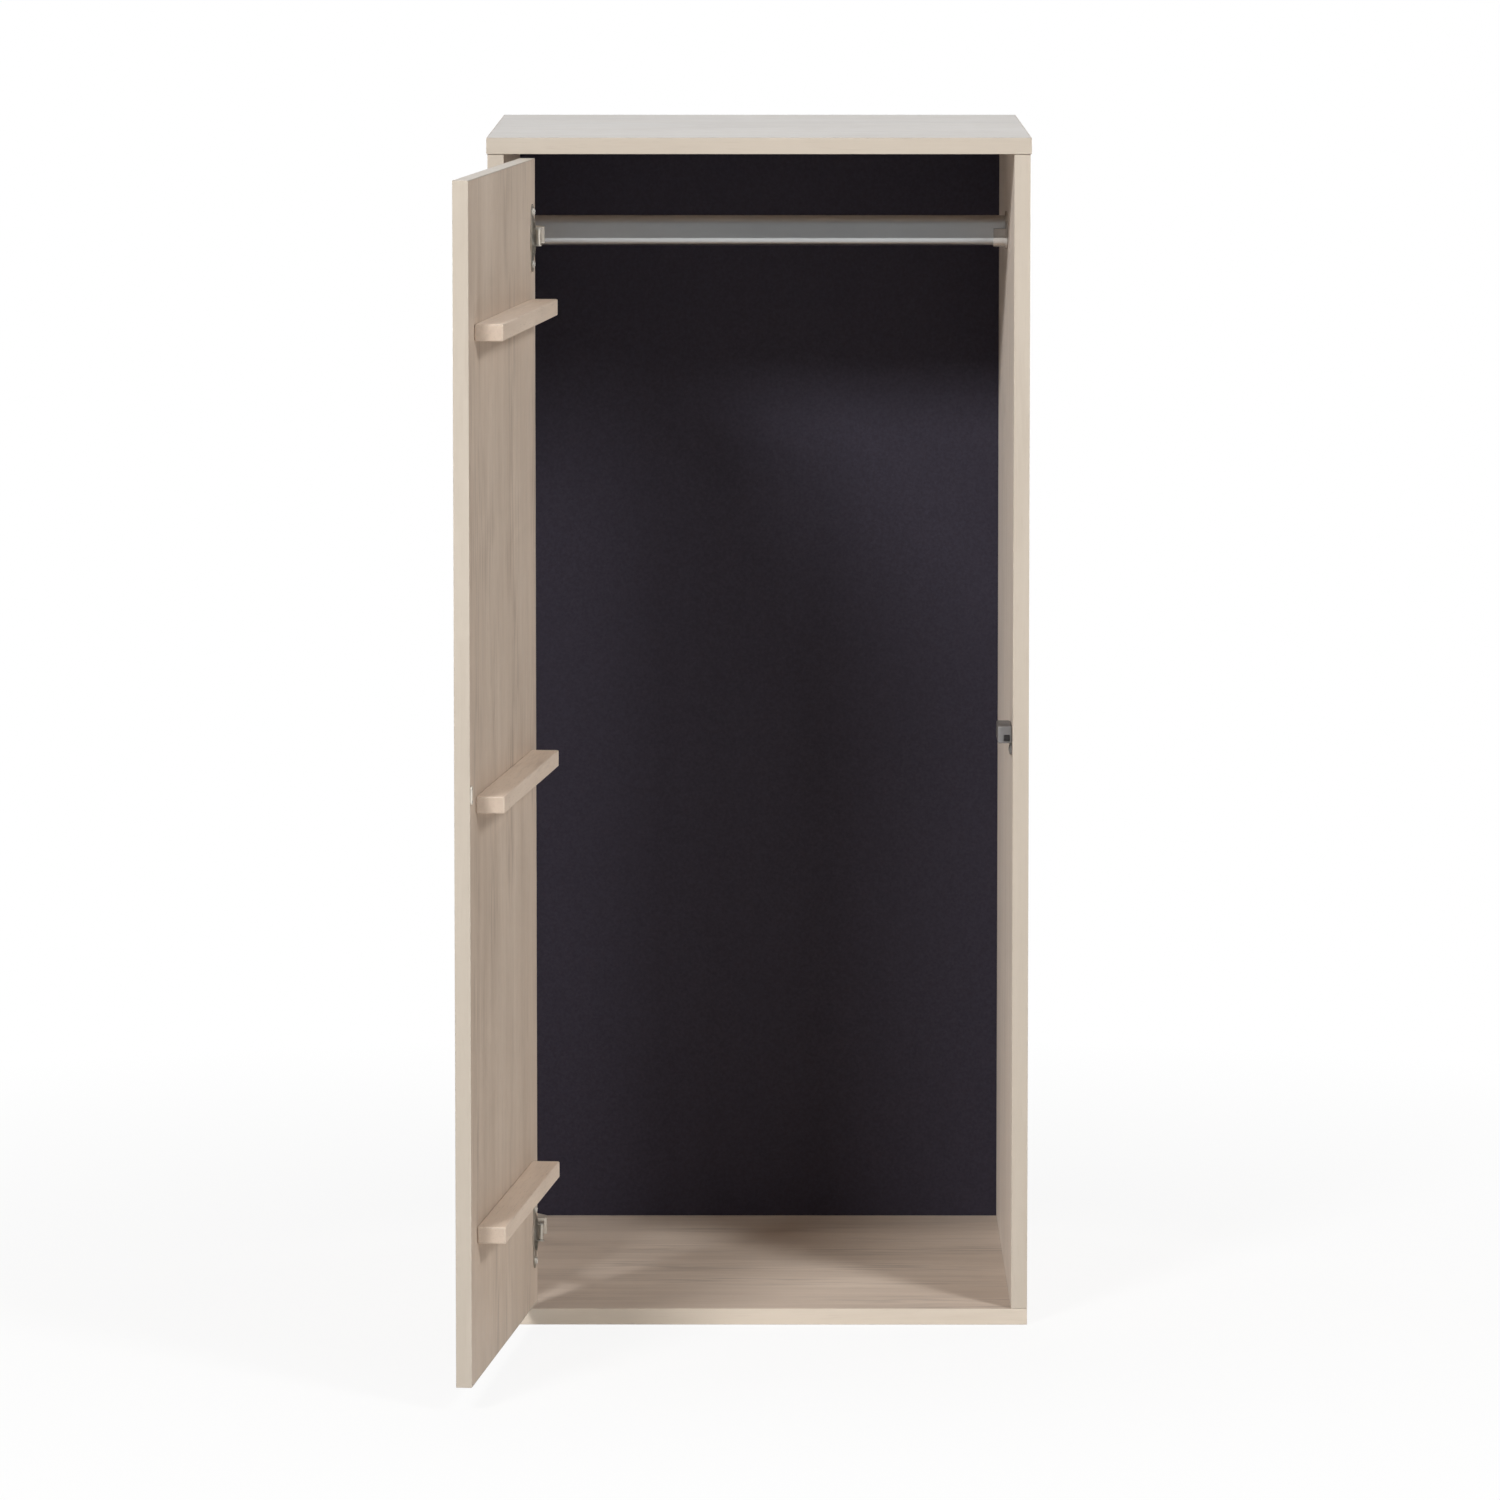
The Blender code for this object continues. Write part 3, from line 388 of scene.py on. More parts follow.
def use_group(wiring: Wiring, name: str, place: Value, **settings: float) -> bpy.types.Node:
    """Places a shared group in a material.

    Args:
        wiring: The material's wiring.
        name: The group's name.
        place: The vector that the group reads.
        settings: Plain values of its other inputs.

    Returns:
        The group's node.
    """
    node = wiring.node("ShaderNodeGroup")
    node.node_tree = GROUPS[name]
    wiring.feed(node.inputs["Place"], place)
    for label, value in settings.items():
        node.inputs[label].default_value = value
    return node


def own_place(wiring: Wiring) -> Socket:
    """Returns the object's own coordinates."""
    return wiring.node("ShaderNodeTexCoord").outputs["Object"]


def own_normal(wiring: Wiring) -> Socket:
    """Returns the direction that the object's surface faces, in its own coordinates."""
    return wiring.node("ShaderNodeTexCoord").outputs["Normal"]


def turned(wiring: Wiring, place: Socket, turn: Triple, shift: Triple = (0.0, 0.0, 0.0)) -> Socket:
    """Returns coordinates after a turn about the origin and then a shift.

    Args:
        wiring: The material's wiring.
        place: The coordinates to turn.
        turn: Euler angles of the turn.
        shift: The shift after it.

    Returns:
        The turned coordinates.
    """
    mapping = wiring.node("ShaderNodeMapping")
    mapping.inputs["Rotation"].default_value = turn
    mapping.inputs["Location"].default_value = shift
    wiring.feed(mapping.inputs["Vector"], place)
    return mapping.outputs["Vector"]


def shut_place(wiring: Wiring) -> Socket:
    """Returns a door piece's coordinates as they are with the door shut.

    Args:
        wiring: The material's wiring.

    Returns:
        The object's own coordinates turned back about the door's axis.
    """
    axis, opening = door_joint()
    cosine, sine = math.cos(opening), math.sin(opening)
    shift = (axis[0] - cosine * axis[0] + sine * axis[1], axis[1] - sine * axis[0] - cosine * axis[1], 0.0)
    return turned(wiring, own_place(wiring), (0.0, 0.0, opening), shift)


def start_material(name: str) -> Tuple[bpy.types.Material, Wiring, bpy.types.Node]:
    """Starts a material.

    Args:
        name: The material's name.

    Returns:
        The material, its wiring and its shader.
    """
    material = bpy.data.materials.new(name)
    material.use_nodes = True
    wiring = Wiring(material.node_tree)
    return material, wiring, material.node_tree.nodes["Principled BSDF"]


def add_bump(
    wiring: Wiring, shader: bpy.types.Node, height: Value, strength: float, distance: float
) -> None:
    """Gives a shader a bump.

    Args:
        wiring: The material's wiring.
        shader: The shader.
        height: The height, from 0 to 1.
        strength: How strongly the bump shows.
        distance: The height of 1, in metres.
    """
    bump = wiring.node("ShaderNodeBump")
    bump.inputs["Strength"].default_value = strength
    bump.inputs["Distance"].default_value = distance
    wiring.feed(bump.inputs["Height"], height)
    wiring.feed(shader.inputs["Normal"], bump.outputs["Normal"])


@dataclass(frozen=True)
class WoodFinish:
    """Wood-look laminate, edging or plain wood."""

    name: str
    pale: Colour
    dark: Colour
    pore: Colour
    grain: GrainAxis
    seed: float
    roughness: float = 0.46
    pore_share: float = 0.35
    on_door: bool = False
    raw_rear: bool = False
    sheen: float = 0.2
    # Painted light across the door: paler at the hinge side, darker towards the free edge.
    painted_side_light: float = 0.0
    fleck_share: float = 0.25
    # Painted shade on a door piece's ends and on its outer face.
    painted_end_shade: float = 1.0
    painted_front_shade: float = 1.0
    # Painted light along the board's depth: paler towards the rear, darker towards the front.
    painted_rear_light: float = 0.0
    contrast: float = 1.0
    bloom: Colour = (1.0, 0.92, 0.84)

    smoother: float = 0.05
    rougher: float = 0.06
    sheen_roughness: float = 0.5
    bump: float = 0.25
    bump_height: float = 0.00008
    # Reaches, in metres, of the painted light across the door and along the board's depth.
    side_reach: float = 0.25
    depth_reach: float = 0.30

    def wood_colour(self, wiring: Wiring, level: Socket, figure: bpy.types.Node) -> Socket:
        """Works out the wood's colour from its tone, flecks and pores, with painted light across the door
        and along the bottom panel.

        Args:
            wiring: The material's wiring.
            level: The board's coordinates, as they are with the door shut.
            figure: The wood figure's node.

        Returns:
            The colour.
        """
        at = wiring.parts(level)
        # Painted light: door pieces turn paler towards the hinge side and darker towards the free edge.
        painted_side_light = wiring.span(at["X"], -self.side_reach, self.side_reach, -self.painted_side_light, self.painted_side_light)
        # Painted light: the bottom panel turns paler towards the rear and darker towards the front.
        rear_light = wiring.span(at["Y"], -self.depth_reach, self.depth_reach, self.painted_rear_light, -self.painted_rear_light)
        half = 0.5 * self.contrast
        tone = wiring.span(figure.outputs["Tone"], 0.0, 1.0, 0.5 - half, 0.5 + half)
        tone = wiring.calc("ADD", tone, wiring.calc("ADD", painted_side_light, rear_light))
        colour = wiring.mix(wiring.span(tone, 0.0, 1.0), self.pale, self.dark)
        flecks = wiring.calc("MULTIPLY", figure.outputs["Flecks"], self.fleck_share)
        colour = wiring.mix(flecks, colour, self.pore)
        pores = wiring.calc("MULTIPLY", figure.outputs["Pores"], self.pore_share)
        return wiring.mix(pores, colour, self.pore)

    def painted_door_shade(self, wiring: Wiring) -> Socket:
        """Works out the painted shade that makes the ends and the outer face of a door piece darker.

        Args:
            wiring: The material's wiring.

        Returns:
            The share of black, from 0 to 1.
        """
        facing = wiring.parts(turned(wiring, own_normal(wiring), (0.0, 0.0, door_joint()[1])))
        sideways = wiring.calc("ABSOLUTE", facing["X"])
        partly, fully = SQUARE_ON
        end = wiring.span(sideways, partly, fully, 0.0, 1.0 - self.painted_end_shade)
        front = wiring.span(facing["Y"], -fully, -partly, 1.0 - self.painted_front_shade, 0.0)
        return wiring.calc("ADD", end, front)

    def chip_colour(self, wiring: Wiring, level: Socket) -> Socket:
        """Works out the colour of the raw core.

        Args:
            wiring: The material's wiring.
            level: The board's coordinates.

        Returns:
            The colour.
        """
        core = use_group(wiring, "chip_core", level)
        chips = wiring.mix(core.outputs["Tone"], CHIP_PALE, CHIP_DARK)
        return wiring.mix(core.outputs["Gaps"], chips, CHIP_GAP)

    def material(self) -> bpy.types.Material:
        """Builds the finish: the wood's tone and pores with painted light and shade, handling marks in the
        gloss, and a raw rear edge.

        Returns:
            The material.
        """
        material, wiring, shader = start_material(self.name)
        level = shut_place(wiring) if self.on_door else own_place(wiring)
        upright = turned(wiring, level, self.grain.value)
        figure = use_group(wiring, "wood_figure", upright, Seed=self.seed)
        marks = use_group(wiring, "handling_marks", level)
        colour = self.wood_colour(wiring, level, figure)
        low, high = self.roughness - self.smoother, self.roughness + self.rougher
        rough = wiring.span(marks.outputs["Marks"], 0.0, 1.0, low, high)
        if self.on_door:
            # Painted shade darkens the door pieces' ends and outer face.
            colour = wiring.mix(self.painted_door_shade(wiring), colour, (0.0, 0.0, 0.0))
        if self.raw_rear:
            rear = wiring.span(wiring.parts(own_normal(wiring))["Y"], *RAW_EDGE_RANGE)
            colour = wiring.mix(rear, colour, self.chip_colour(wiring, level))
            rough = wiring.calc("MAXIMUM", rough, wiring.calc("MULTIPLY", rear, CHIP_ROUGHNESS))
        wiring.feed(shader.inputs["Base Color"], colour)
        wiring.feed(shader.inputs["Roughness"], rough)
        shader.inputs["Sheen Weight"].default_value = self.sheen
        shader.inputs["Sheen Roughness"].default_value = self.sheen_roughness
        shader.inputs["Sheen Tint"].default_value = (*self.bloom, 1.0)
        height = wiring.calc("SUBTRACT", figure.outputs["Fibre"], figure.outputs["Pores"])
        add_bump(wiring, shader, height, self.bump, self.bump_height)
        return material


@dataclass(frozen=True)
class BoardBackFinish:
    """Thin black-faced hardboard, raw brown behind."""

    name: str
    face: Colour
    bloom: Colour
    raw: Colour
    roughness: float
    raw_roughness: float = 0.8
    raw_dark_share: float = 0.55
    smoother: float = 0.03
    rougher: float = 0.05
    specular: float = 0.12
    bump: float = 0.12
    bump_height: float = 0.00005

    def material(self) -> bpy.types.Material:
        """Builds the finish: a cloudy black face with a fine tooth, and bare fibre on the rear face.

        Returns:
            The material.
        """
        material, wiring, shader = start_material(self.name)
        place = own_place(wiring)
        marks = use_group(wiring, "handling_marks", place)
        fleck = BOARD_FLECK.read(wiring, place)
        colour = wiring.mix(wiring.span(fleck, *BOARD_TONE_RANGE), self.face, self.bloom)
        raw_dark = tuple(self.raw_dark_share * part for part in self.raw)
        raw = wiring.mix(wiring.span(fleck, *RAW_TONE_RANGE), self.raw, raw_dark)
        rear = wiring.span(wiring.parts(own_normal(wiring))["Y"], *REAR_FACE_RANGE)
        wiring.feed(shader.inputs["Base Color"], wiring.mix(rear, colour, raw))
        low, high = self.roughness - self.smoother, self.roughness + self.rougher
        rough = wiring.span(marks.outputs["Marks"], 0.0, 1.0, low, high)
        rough = wiring.calc("MAXIMUM", rough, wiring.calc("MULTIPLY", rear, self.raw_roughness))
        wiring.feed(shader.inputs["Roughness"], rough)
        shader.inputs["Specular IOR Level"].default_value = self.specular
        add_bump(wiring, shader, BOARD_TOOTH.read(wiring, place), self.bump, self.bump_height)
        return material


@dataclass(frozen=True)
class MetalFinish:
    """Plated or plain metal."""

    name: str
    colour: Colour
    worn: Colour
    roughness: float
    lines: float = 0.10
    smudge: float = 0.05
    bump: float = 0.10
    bump_height: float = 0.00002

    def material(self) -> bpy.types.Material:
        """Builds the finish: fine lines along X in tone, gloss and bump, with handling marks over them.

        Returns:
            The material.
        """
        material, wiring, shader = start_material(self.name)
        place = own_place(wiring)
        brushed = use_group(wiring, "brushed_lines", place)
        marks = use_group(wiring, "handling_marks", place)
        share = wiring.span(brushed.outputs["Tone"], *DRAWN_TONE_RANGE)
        wiring.feed(shader.inputs["Base Color"], wiring.mix(share, self.colour, self.worn))
        spread = wiring.calc("MULTIPLY", brushed.outputs["Lines"], self.lines)
        low, high = self.roughness - self.smudge, self.roughness + self.smudge
        rough = wiring.span(marks.outputs["Marks"], 0.0, 1.0, low, high)
        wiring.feed(shader.inputs["Roughness"], wiring.calc("ADD", rough, spread))
        shader.inputs["Metallic"].default_value = 1.0
        add_bump(wiring, shader, brushed.outputs["Lines"], self.bump, self.bump_height)
        return material


@dataclass(frozen=True)
class PlasticFinish:
    """Moulded plastic with a fine sparked skin."""

    name: str
    colour: Colour
    sheen: Colour
    roughness: float
    smoother: float = 0.06
    rougher: float = 0.08
    bump: float = 0.18
    bump_height: float = 0.00004

    def material(self) -> bpy.types.Material:
        """Builds the finish: a slow change of tone, a fine tooth and handling marks in the gloss.

        Returns:
            The material.
        """
        material, wiring, shader = start_material(self.name)
        place = own_place(wiring)
        marks = use_group(wiring, "handling_marks", place)
        share = wiring.span(PLASTIC_TONE.read(wiring, place), *PLASTIC_TONE_RANGE)
        wiring.feed(shader.inputs["Base Color"], wiring.mix(share, self.colour, self.sheen))
        low, high = self.roughness - self.smoother, self.roughness + self.rougher
        wiring.feed(shader.inputs["Roughness"], wiring.span(marks.outputs["Marks"], 0.0, 1.0, low, high))
        add_bump(wiring, shader, PLASTIC_TOOTH.read(wiring, place), self.bump, self.bump_height)
        return material


Finish = Union[WoodFinish, BoardBackFinish, MetalFinish, PlasticFinish]
MATERIALS: Dict[Finish, bpy.types.Material] = {}


def material_of(finish: Finish) -> bpy.types.Material:
    """Gives a finish's material, and builds it the first time.

    Args:
        finish: The finish.

    Returns:
        Its one material.
    """
    if finish not in MATERIALS:
        MATERIALS[finish] = finish.material()
    return MATERIALS[finish]


OAK_PALE: Colour = (0.660, 0.550, 0.452)
OAK_DARK: Colour = (0.490, 0.390, 0.308)
OAK_PORE: Colour = (0.330, 0.255, 0.200)
EDGE_PALE: Colour = (0.530, 0.466, 0.392)
EDGE_DARK: Colour = (0.464, 0.401, 0.330)
EDGE_PORE: Colour = (0.400, 0.330, 0.265)

# Painted light across the door: how far the door pieces' tone is made paler at the hinge side and darker
# towards the free edge.
DOOR_PAINTED_SIDE_LIGHT = 0.40
EDGE_ROUGHNESS = 0.42
EDGE_PORE_SHARE = 0.2

NICKEL = MetalFinish("plated_nickel", (0.84, 0.80, 0.73), (0.72, 0.68, 0.61), 0.50)
# Painted shade: a darker copy of the plating on the hinge links, which dims the light they reflect.
LINK_PLATING_PAINTED_SHADE = MetalFinish("link_plating_painted_shade", (0.76, 0.72, 0.64), (0.62, 0.58, 0.52), 0.52)
# Painted highlight: a brighter copy of the plating on the cup's ear screws, for the light that catches their
# heads.
EAR_NICKEL_PAINTED_HIGHLIGHT = MetalFinish("ear_nickel_painted_highlight", (0.86, 0.84, 0.80), (0.74, 0.72, 0.68), 0.56)
# Painted shade: a darker copy of the plating on the hinge cups, for the shade round cup and flange.
CUP_NICKEL_PAINTED_SHADE = MetalFinish("cup_nickel_painted_shade", (0.60, 0.57, 0.52), (0.42, 0.40, 0.36), 0.44)
STEEL = MetalFinish("screw_steel", (0.56, 0.55, 0.53), (0.42, 0.41, 0.39), 0.28)
RAIL_METAL = MetalFinish(
    "rail_chrome", (0.57, 0.58, 0.59), (0.54, 0.55, 0.56), 0.28, lines=0.03, smudge=0.008
)
SOCKET_METAL = MetalFinish(
    "socket_zinc", (0.72, 0.69, 0.66), (0.60, 0.57, 0.54), 0.20, lines=0.04, smudge=0.02
)
DOWEL_BEECH = WoodFinish(
    "dowel_beech", (0.62, 0.44, 0.27), (0.50, 0.34, 0.20), (0.36, 0.23, 0.13), GrainAxis.ALONG_Z, 30.0, 0.7
)
LATCH_GREY = PlasticFinish("grey_plastic", (0.19, 0.185, 0.185), (0.24, 0.235, 0.235), 0.42)
LATCH_BLACK = PlasticFinish("black_plastic", (0.010, 0.009, 0.009), (0.018, 0.016, 0.016), 0.40)
BACK_BOARD = BoardBackFinish(
    "black_hardboard", (0.037, 0.033, 0.049), (0.051, 0.046, 0.068), (0.200, 0.120, 0.065), 0.45
)


def shaded(share: float, *tones: Colour) -> Tuple[Colour, ...]:
    """Returns colours with every part times a share."""
    return tuple(tuple(share * part for part in tone) for tone in tones)


@dataclass(frozen=True)
class Board:
    """How one board's wood look differs from the next one's, with painted light and shade that makes the
    whole board lighter or darker.
    """

    grain: GrainAxis
    seed: float
    sheen: float
    # Painted light and shade: the whole board's oak made lighter or darker for the light that reaches it.
    shade: float = 1.0
    flecks: float = 0.50
    painted_end_shade: float = 1.0
    painted_front_shade: float = 1.0
    painted_rear_light: float = 0.0
    contrast: float = 1.0
    bloom: Colour = (1.0, 0.92, 0.84)

    def finish(self, name: str, on_door: bool) -> WoodFinish:
        """Returns the oak-look finish of the board.

        Args:
            name: The material's name.
            on_door: Whether the board swings with the door; the others show their core at the rear edge.

        Returns:
            The finish.
        """
        # The board's shade paints light or shade over the whole board.
        pale, dark, pore = shaded(self.shade, OAK_PALE, OAK_DARK, OAK_PORE)
        painted_side_light = DOOR_PAINTED_SIDE_LIGHT if on_door else 0.0
        return WoodFinish(
            name, pale, dark, pore, self.grain, self.seed,
            on_door=on_door, raw_rear=not on_door, sheen=self.sheen, painted_side_light=painted_side_light, fleck_share=self.flecks,
            painted_end_shade=self.painted_end_shade, painted_front_shade=self.painted_front_shade, painted_rear_light=self.painted_rear_light,
            contrast=self.contrast, bloom=self.bloom,
        )


def edging(
    name: str, grain: GrainAxis, seed: float, on_door: bool = False, shade: float = 1.0
) -> WoodFinish:
    """Returns the lighter edging finish for one strip.

    Args:
        name: The material's name.
        grain: The way the fibres run.
        seed: Picks the strip's own stretch of figure.
        on_door: Whether the strip swings with the door.
        shade: How light the strip is, where 1 is like the others; above 1 is painted light.

    Returns:
        The finish.
    """
    pale, dark, pore = shaded(shade, EDGE_PALE, EDGE_DARK, EDGE_PORE)
    return WoodFinish(name, pale, dark, pore, grain, seed, EDGE_ROUGHNESS, EDGE_PORE_SHARE, on_door)


def dress(node: str, finish: Finish) -> None:
    """Puts a finish on a node of the frame.

    Args:
        node: The node's name.
        finish: The finish.
    """
    mesh = frame["nodes"][node].data
    mesh.materials.clear()
    mesh.materials.append(material_of(finish))
    LOG.info("dressed %s in %s", node, finish.name)


SHARP_ANGLE = math.radians(35.0)


def ring_surface(name: str, rings: np.ndarray) -> bpy.types.Object:
    """Makes a closed surface from rings of points, with a cap on the first and the last ring.

    Args:
        name: The piece's name.
        rings: Points as an array of rings by steps by three.

    Returns:
        The piece, in the scene.
    """
    count, steps = rings.shape[:2]
    points = np.concatenate((rings.reshape(-1, 3), rings[:1].mean(axis=1), rings[-1:].mean(axis=1)))
    row, step = np.meshgrid(np.arange(count - 1), np.arange(steps), indexing="ij")
    after = (step + 1) % steps
    corners = (row * steps + step, row * steps + after, (row + 1) * steps + after, (row + 1) * steps + step)
    quads = np.stack(corners, axis=-1).reshape(-1, 4)
    around = np.arange(steps)
    following = (around + 1) % steps
    first = np.full(steps, count * steps)
    last = (count - 1) * steps
    start_cap = np.stack((first, following, around), axis=-1)
    end_cap = np.stack((first + 1, last + around, last + following), axis=-1)
    triangles = np.concatenate((quads[:, [0, 1, 2]], quads[:, [0, 2, 3]], start_cap, end_cap))
    first_corner, second_corner, third_corner = (points[triangles[:, corner]] for corner in range(3))
    volume = np.einsum("ij,ij->", first_corner, np.cross(second_corner, third_corner))
    turn = -1 if volume < 0 else 1
    faces = [*quads[:, ::turn].tolist(), *start_cap[:, ::turn].tolist(), *end_cap[:, ::turn].tolist()]
    mesh = bpy.data.meshes.new(name)
    mesh.from_pydata(points.tolist(), [], faces)
    mesh.shade_smooth()
    mesh.set_sharp_from_angle(angle=SHARP_ANGLE)
    piece = bpy.data.objects.new(name, mesh)
    bpy.context.scene.collection.objects.link(piece)
    return piece


@dataclass(frozen=True)
class CrossScrew:
    """A screw with a domed head and a cross recess.

    The recess's sizes are shares of the head's radius, its depth is a share of the head's height, and the
    tip is a share of the shank's radius.
    """

    head: float
    rise: float
    rim: float
    shank: float
    length: float
    steps: int = 64
    rows: int = 22
    inner_ring: float = 0.02
    cross_half_width: float = 0.16
    cross_wall: float = 0.05
    cross_reach: float = 0.62
    cross_end: float = 0.08
    cross_depth: float = 0.75
    tip: float = 0.3

    def rings(self) -> np.ndarray:
        """Works out the screw about the Z axis, head upwards, with the underside of its head at zero.

        Over the head the height is a parabola of the radius, less a recess where either coordinate is within
        the cross's half width and the radius within its reach. Below it the rim drops to zero, and the shank
        runs down to its tip.

        Returns:
            Points as an array of rings by steps by three.
        """
        angle = np.linspace(0.0, 2 * np.pi, self.steps, endpoint=False)
        radius = np.linspace(self.inner_ring, 1.0, self.rows)[:, None] * self.head
        across = radius * np.cos(angle)
        along = radius * np.sin(angle)
        near = np.minimum(np.abs(across), np.abs(along))
        cross = np.clip((self.cross_half_width * self.head - near) / (self.cross_wall * self.head), 0.0, 1.0)
        reach = np.clip((self.cross_reach * self.head - radius) / (self.cross_end * self.head), 0.0, 1.0)
        top = self.rim + self.rise * (1.0 - (radius / self.head) ** 2)
        height = top - cross * reach * (self.rim + self.rise) * self.cross_depth
        head = np.stack((across, along, height), axis=-1)
        below = np.array((
            (self.head, 0.0),
            (self.shank, 0.0),
            (self.shank, -self.length),
            (self.tip * self.shank, -self.length),
        ))
        skirt = np.stack((
            below[:, :1] * np.cos(angle),
            below[:, :1] * np.sin(angle),
            below[:, 1:] * np.ones_like(angle),
        ), axis=-1)
        return np.concatenate((head, skirt))

    def place(
        self, name: str, seat: Sequence[float], outward: Sequence[float], spin: float
    ) -> bpy.types.Object:
        """Makes the screw with its head's underside on a seat.

        Args:
            name: The piece's name.
            seat: The point under the middle of the head.
            outward: The direction that the head faces.
            spin: Turn of the recess about the screw, in radians.

        Returns:
            The piece, in the scene.
        """
        axis = np.array(outward, float)
        axis /= np.linalg.norm(axis)
        helper = np.array((0.0, 0.0, 1.0)) if abs(axis[2]) < 0.9 else np.array((1.0, 0.0, 0.0))
        side = np.cross(helper, axis)
        side /= np.linalg.norm(side)
        other = np.cross(axis, side)
        cosine, sine = math.cos(spin), math.sin(spin)
        basis = np.stack((cosine * side + sine * other, cosine * other - sine * side, axis))
        return ring_surface(name, self.rings() @ basis + np.array(seat, float))


def fasten(piece: bpy.types.Object, body: str, finish: Finish) -> None:
    """Dresses a new piece and makes it ride on a body.

    Args:
        piece: The new piece.
        body: The body's name.
        finish: The piece's finish.
    """
    piece.data.materials.append(material_of(finish))
    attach(piece, body)
    LOG.info("made %s on %s", piece.name, body)


def door_joint() -> Tuple[np.ndarray, float]:
    """Returns the axis of the door's swing and its opening at rest, in radians."""
    joint = next(entry for entry in frame["joints"] if entry["name"] == "door_swing")
    return np.array(joint["pos_m"], float), math.radians(joint["range_deg"][1])


ENDS: Tuple[Tuple[str, int], ...] = (("upper", 1), ("lower", -1))


def opened(point: Sequence[float]) -> np.ndarray:
    """Returns where a point of the shut door is at rest, with the door open.

    Args:
        point: The point with the door shut.

    Returns:
        The point turned about the door's axis by the opening.
    """
    axis, opening = door_joint()
    cosine, sine = math.cos(opening), math.sin(opening)
    turn = np.array(((cosine, sine, 0.0), (-sine, cosine, 0.0), (0.0, 0.0, 1.0)))
    middle = np.array((axis[0], axis[1], 0.0))
    return middle + turn @ (np.array(point, float) - middle)


def door_inward() -> np.ndarray:
    """Returns the way that the door's inner face looks at rest."""
    return opened((0.0, 1.0, 0.0)) - opened((0.0, 0.0, 0.0))


@dataclass
class Carcass:
    """The four boards, their edging and the dowels that join them."""

    # Each board's shade is painted light and shade for the light that reaches it.
    boards: Dict[str, Board] = field(default_factory=lambda: {
        "top_panel": Board(
            GrainAxis.ALONG_X, 1.0, 0.45, 0.94, 0.25, contrast=0.7, bloom=(0.90, 0.96, 1.0)
        ),
        # The bottom panel carries painted light, paler towards the rear.
        "bottom_panel": Board(GrainAxis.ALONG_X, 2.0, 0.42, 1.23, 0.9, painted_rear_light=0.30, contrast=1.6),
        "left_side_panel": Board(GrainAxis.ALONG_Z, 3.0, 0.40),
        "right_side_panel": Board(GrainAxis.ALONG_Z, 4.0, 0.50, 0.97),
    })
    strips: Dict[str, GrainAxis] = field(default_factory=lambda: {
        "top_front_edging": GrainAxis.ALONG_X,
        "top_left_edging": GrainAxis.ALONG_Y,
        "top_right_edging": GrainAxis.ALONG_Y,
        "bottom_front_edging": GrainAxis.ALONG_X,
        "left_side_front_edging": GrainAxis.ALONG_Z,
        "right_side_front_edging": GrainAxis.ALONG_Z,
    })
    first_strip_seed: float = 11.0
    # Painted light on the bottom front edging, for the light that the floor throws up onto it.
    bottom_edging_painted_light: float = 1.20

    def dress(self) -> None:
        """Dresses boards, strips and dowels, each with its own stretch of figure."""
        for node, board in self.boards.items():
            dress(node, board.finish(node + "_oak", False))
        for seed, (node, grain) in enumerate(self.strips.items()):
            shade = self.bottom_edging_painted_light if node == "bottom_front_edging" else 1.0
            dress(node, edging(node + "_oak", grain, self.first_strip_seed + seed, shade=shade))
        for node in frame["nodes"]:
            if node.endswith("_dowel"):
                dress(node, DOWEL_BEECH)


@dataclass
class BackPanel:
    """The thin panel in the grooves."""

    node: str = "back_panel"

    def dress(self) -> None:
        """Dresses the panel."""
        dress(self.node, BACK_BOARD)


@dataclass
class HangingRail:
    """The oval rail and its sockets."""

    rail: str = "hanging_rail"
    sockets: Tuple[str, str] = ("left_rail_socket", "right_rail_socket")

    def dress(self) -> None:
        """Dresses the rail and both sockets."""
        dress(self.rail, RAIL_METAL)
        for node in self.sockets:
            dress(node, SOCKET_METAL)


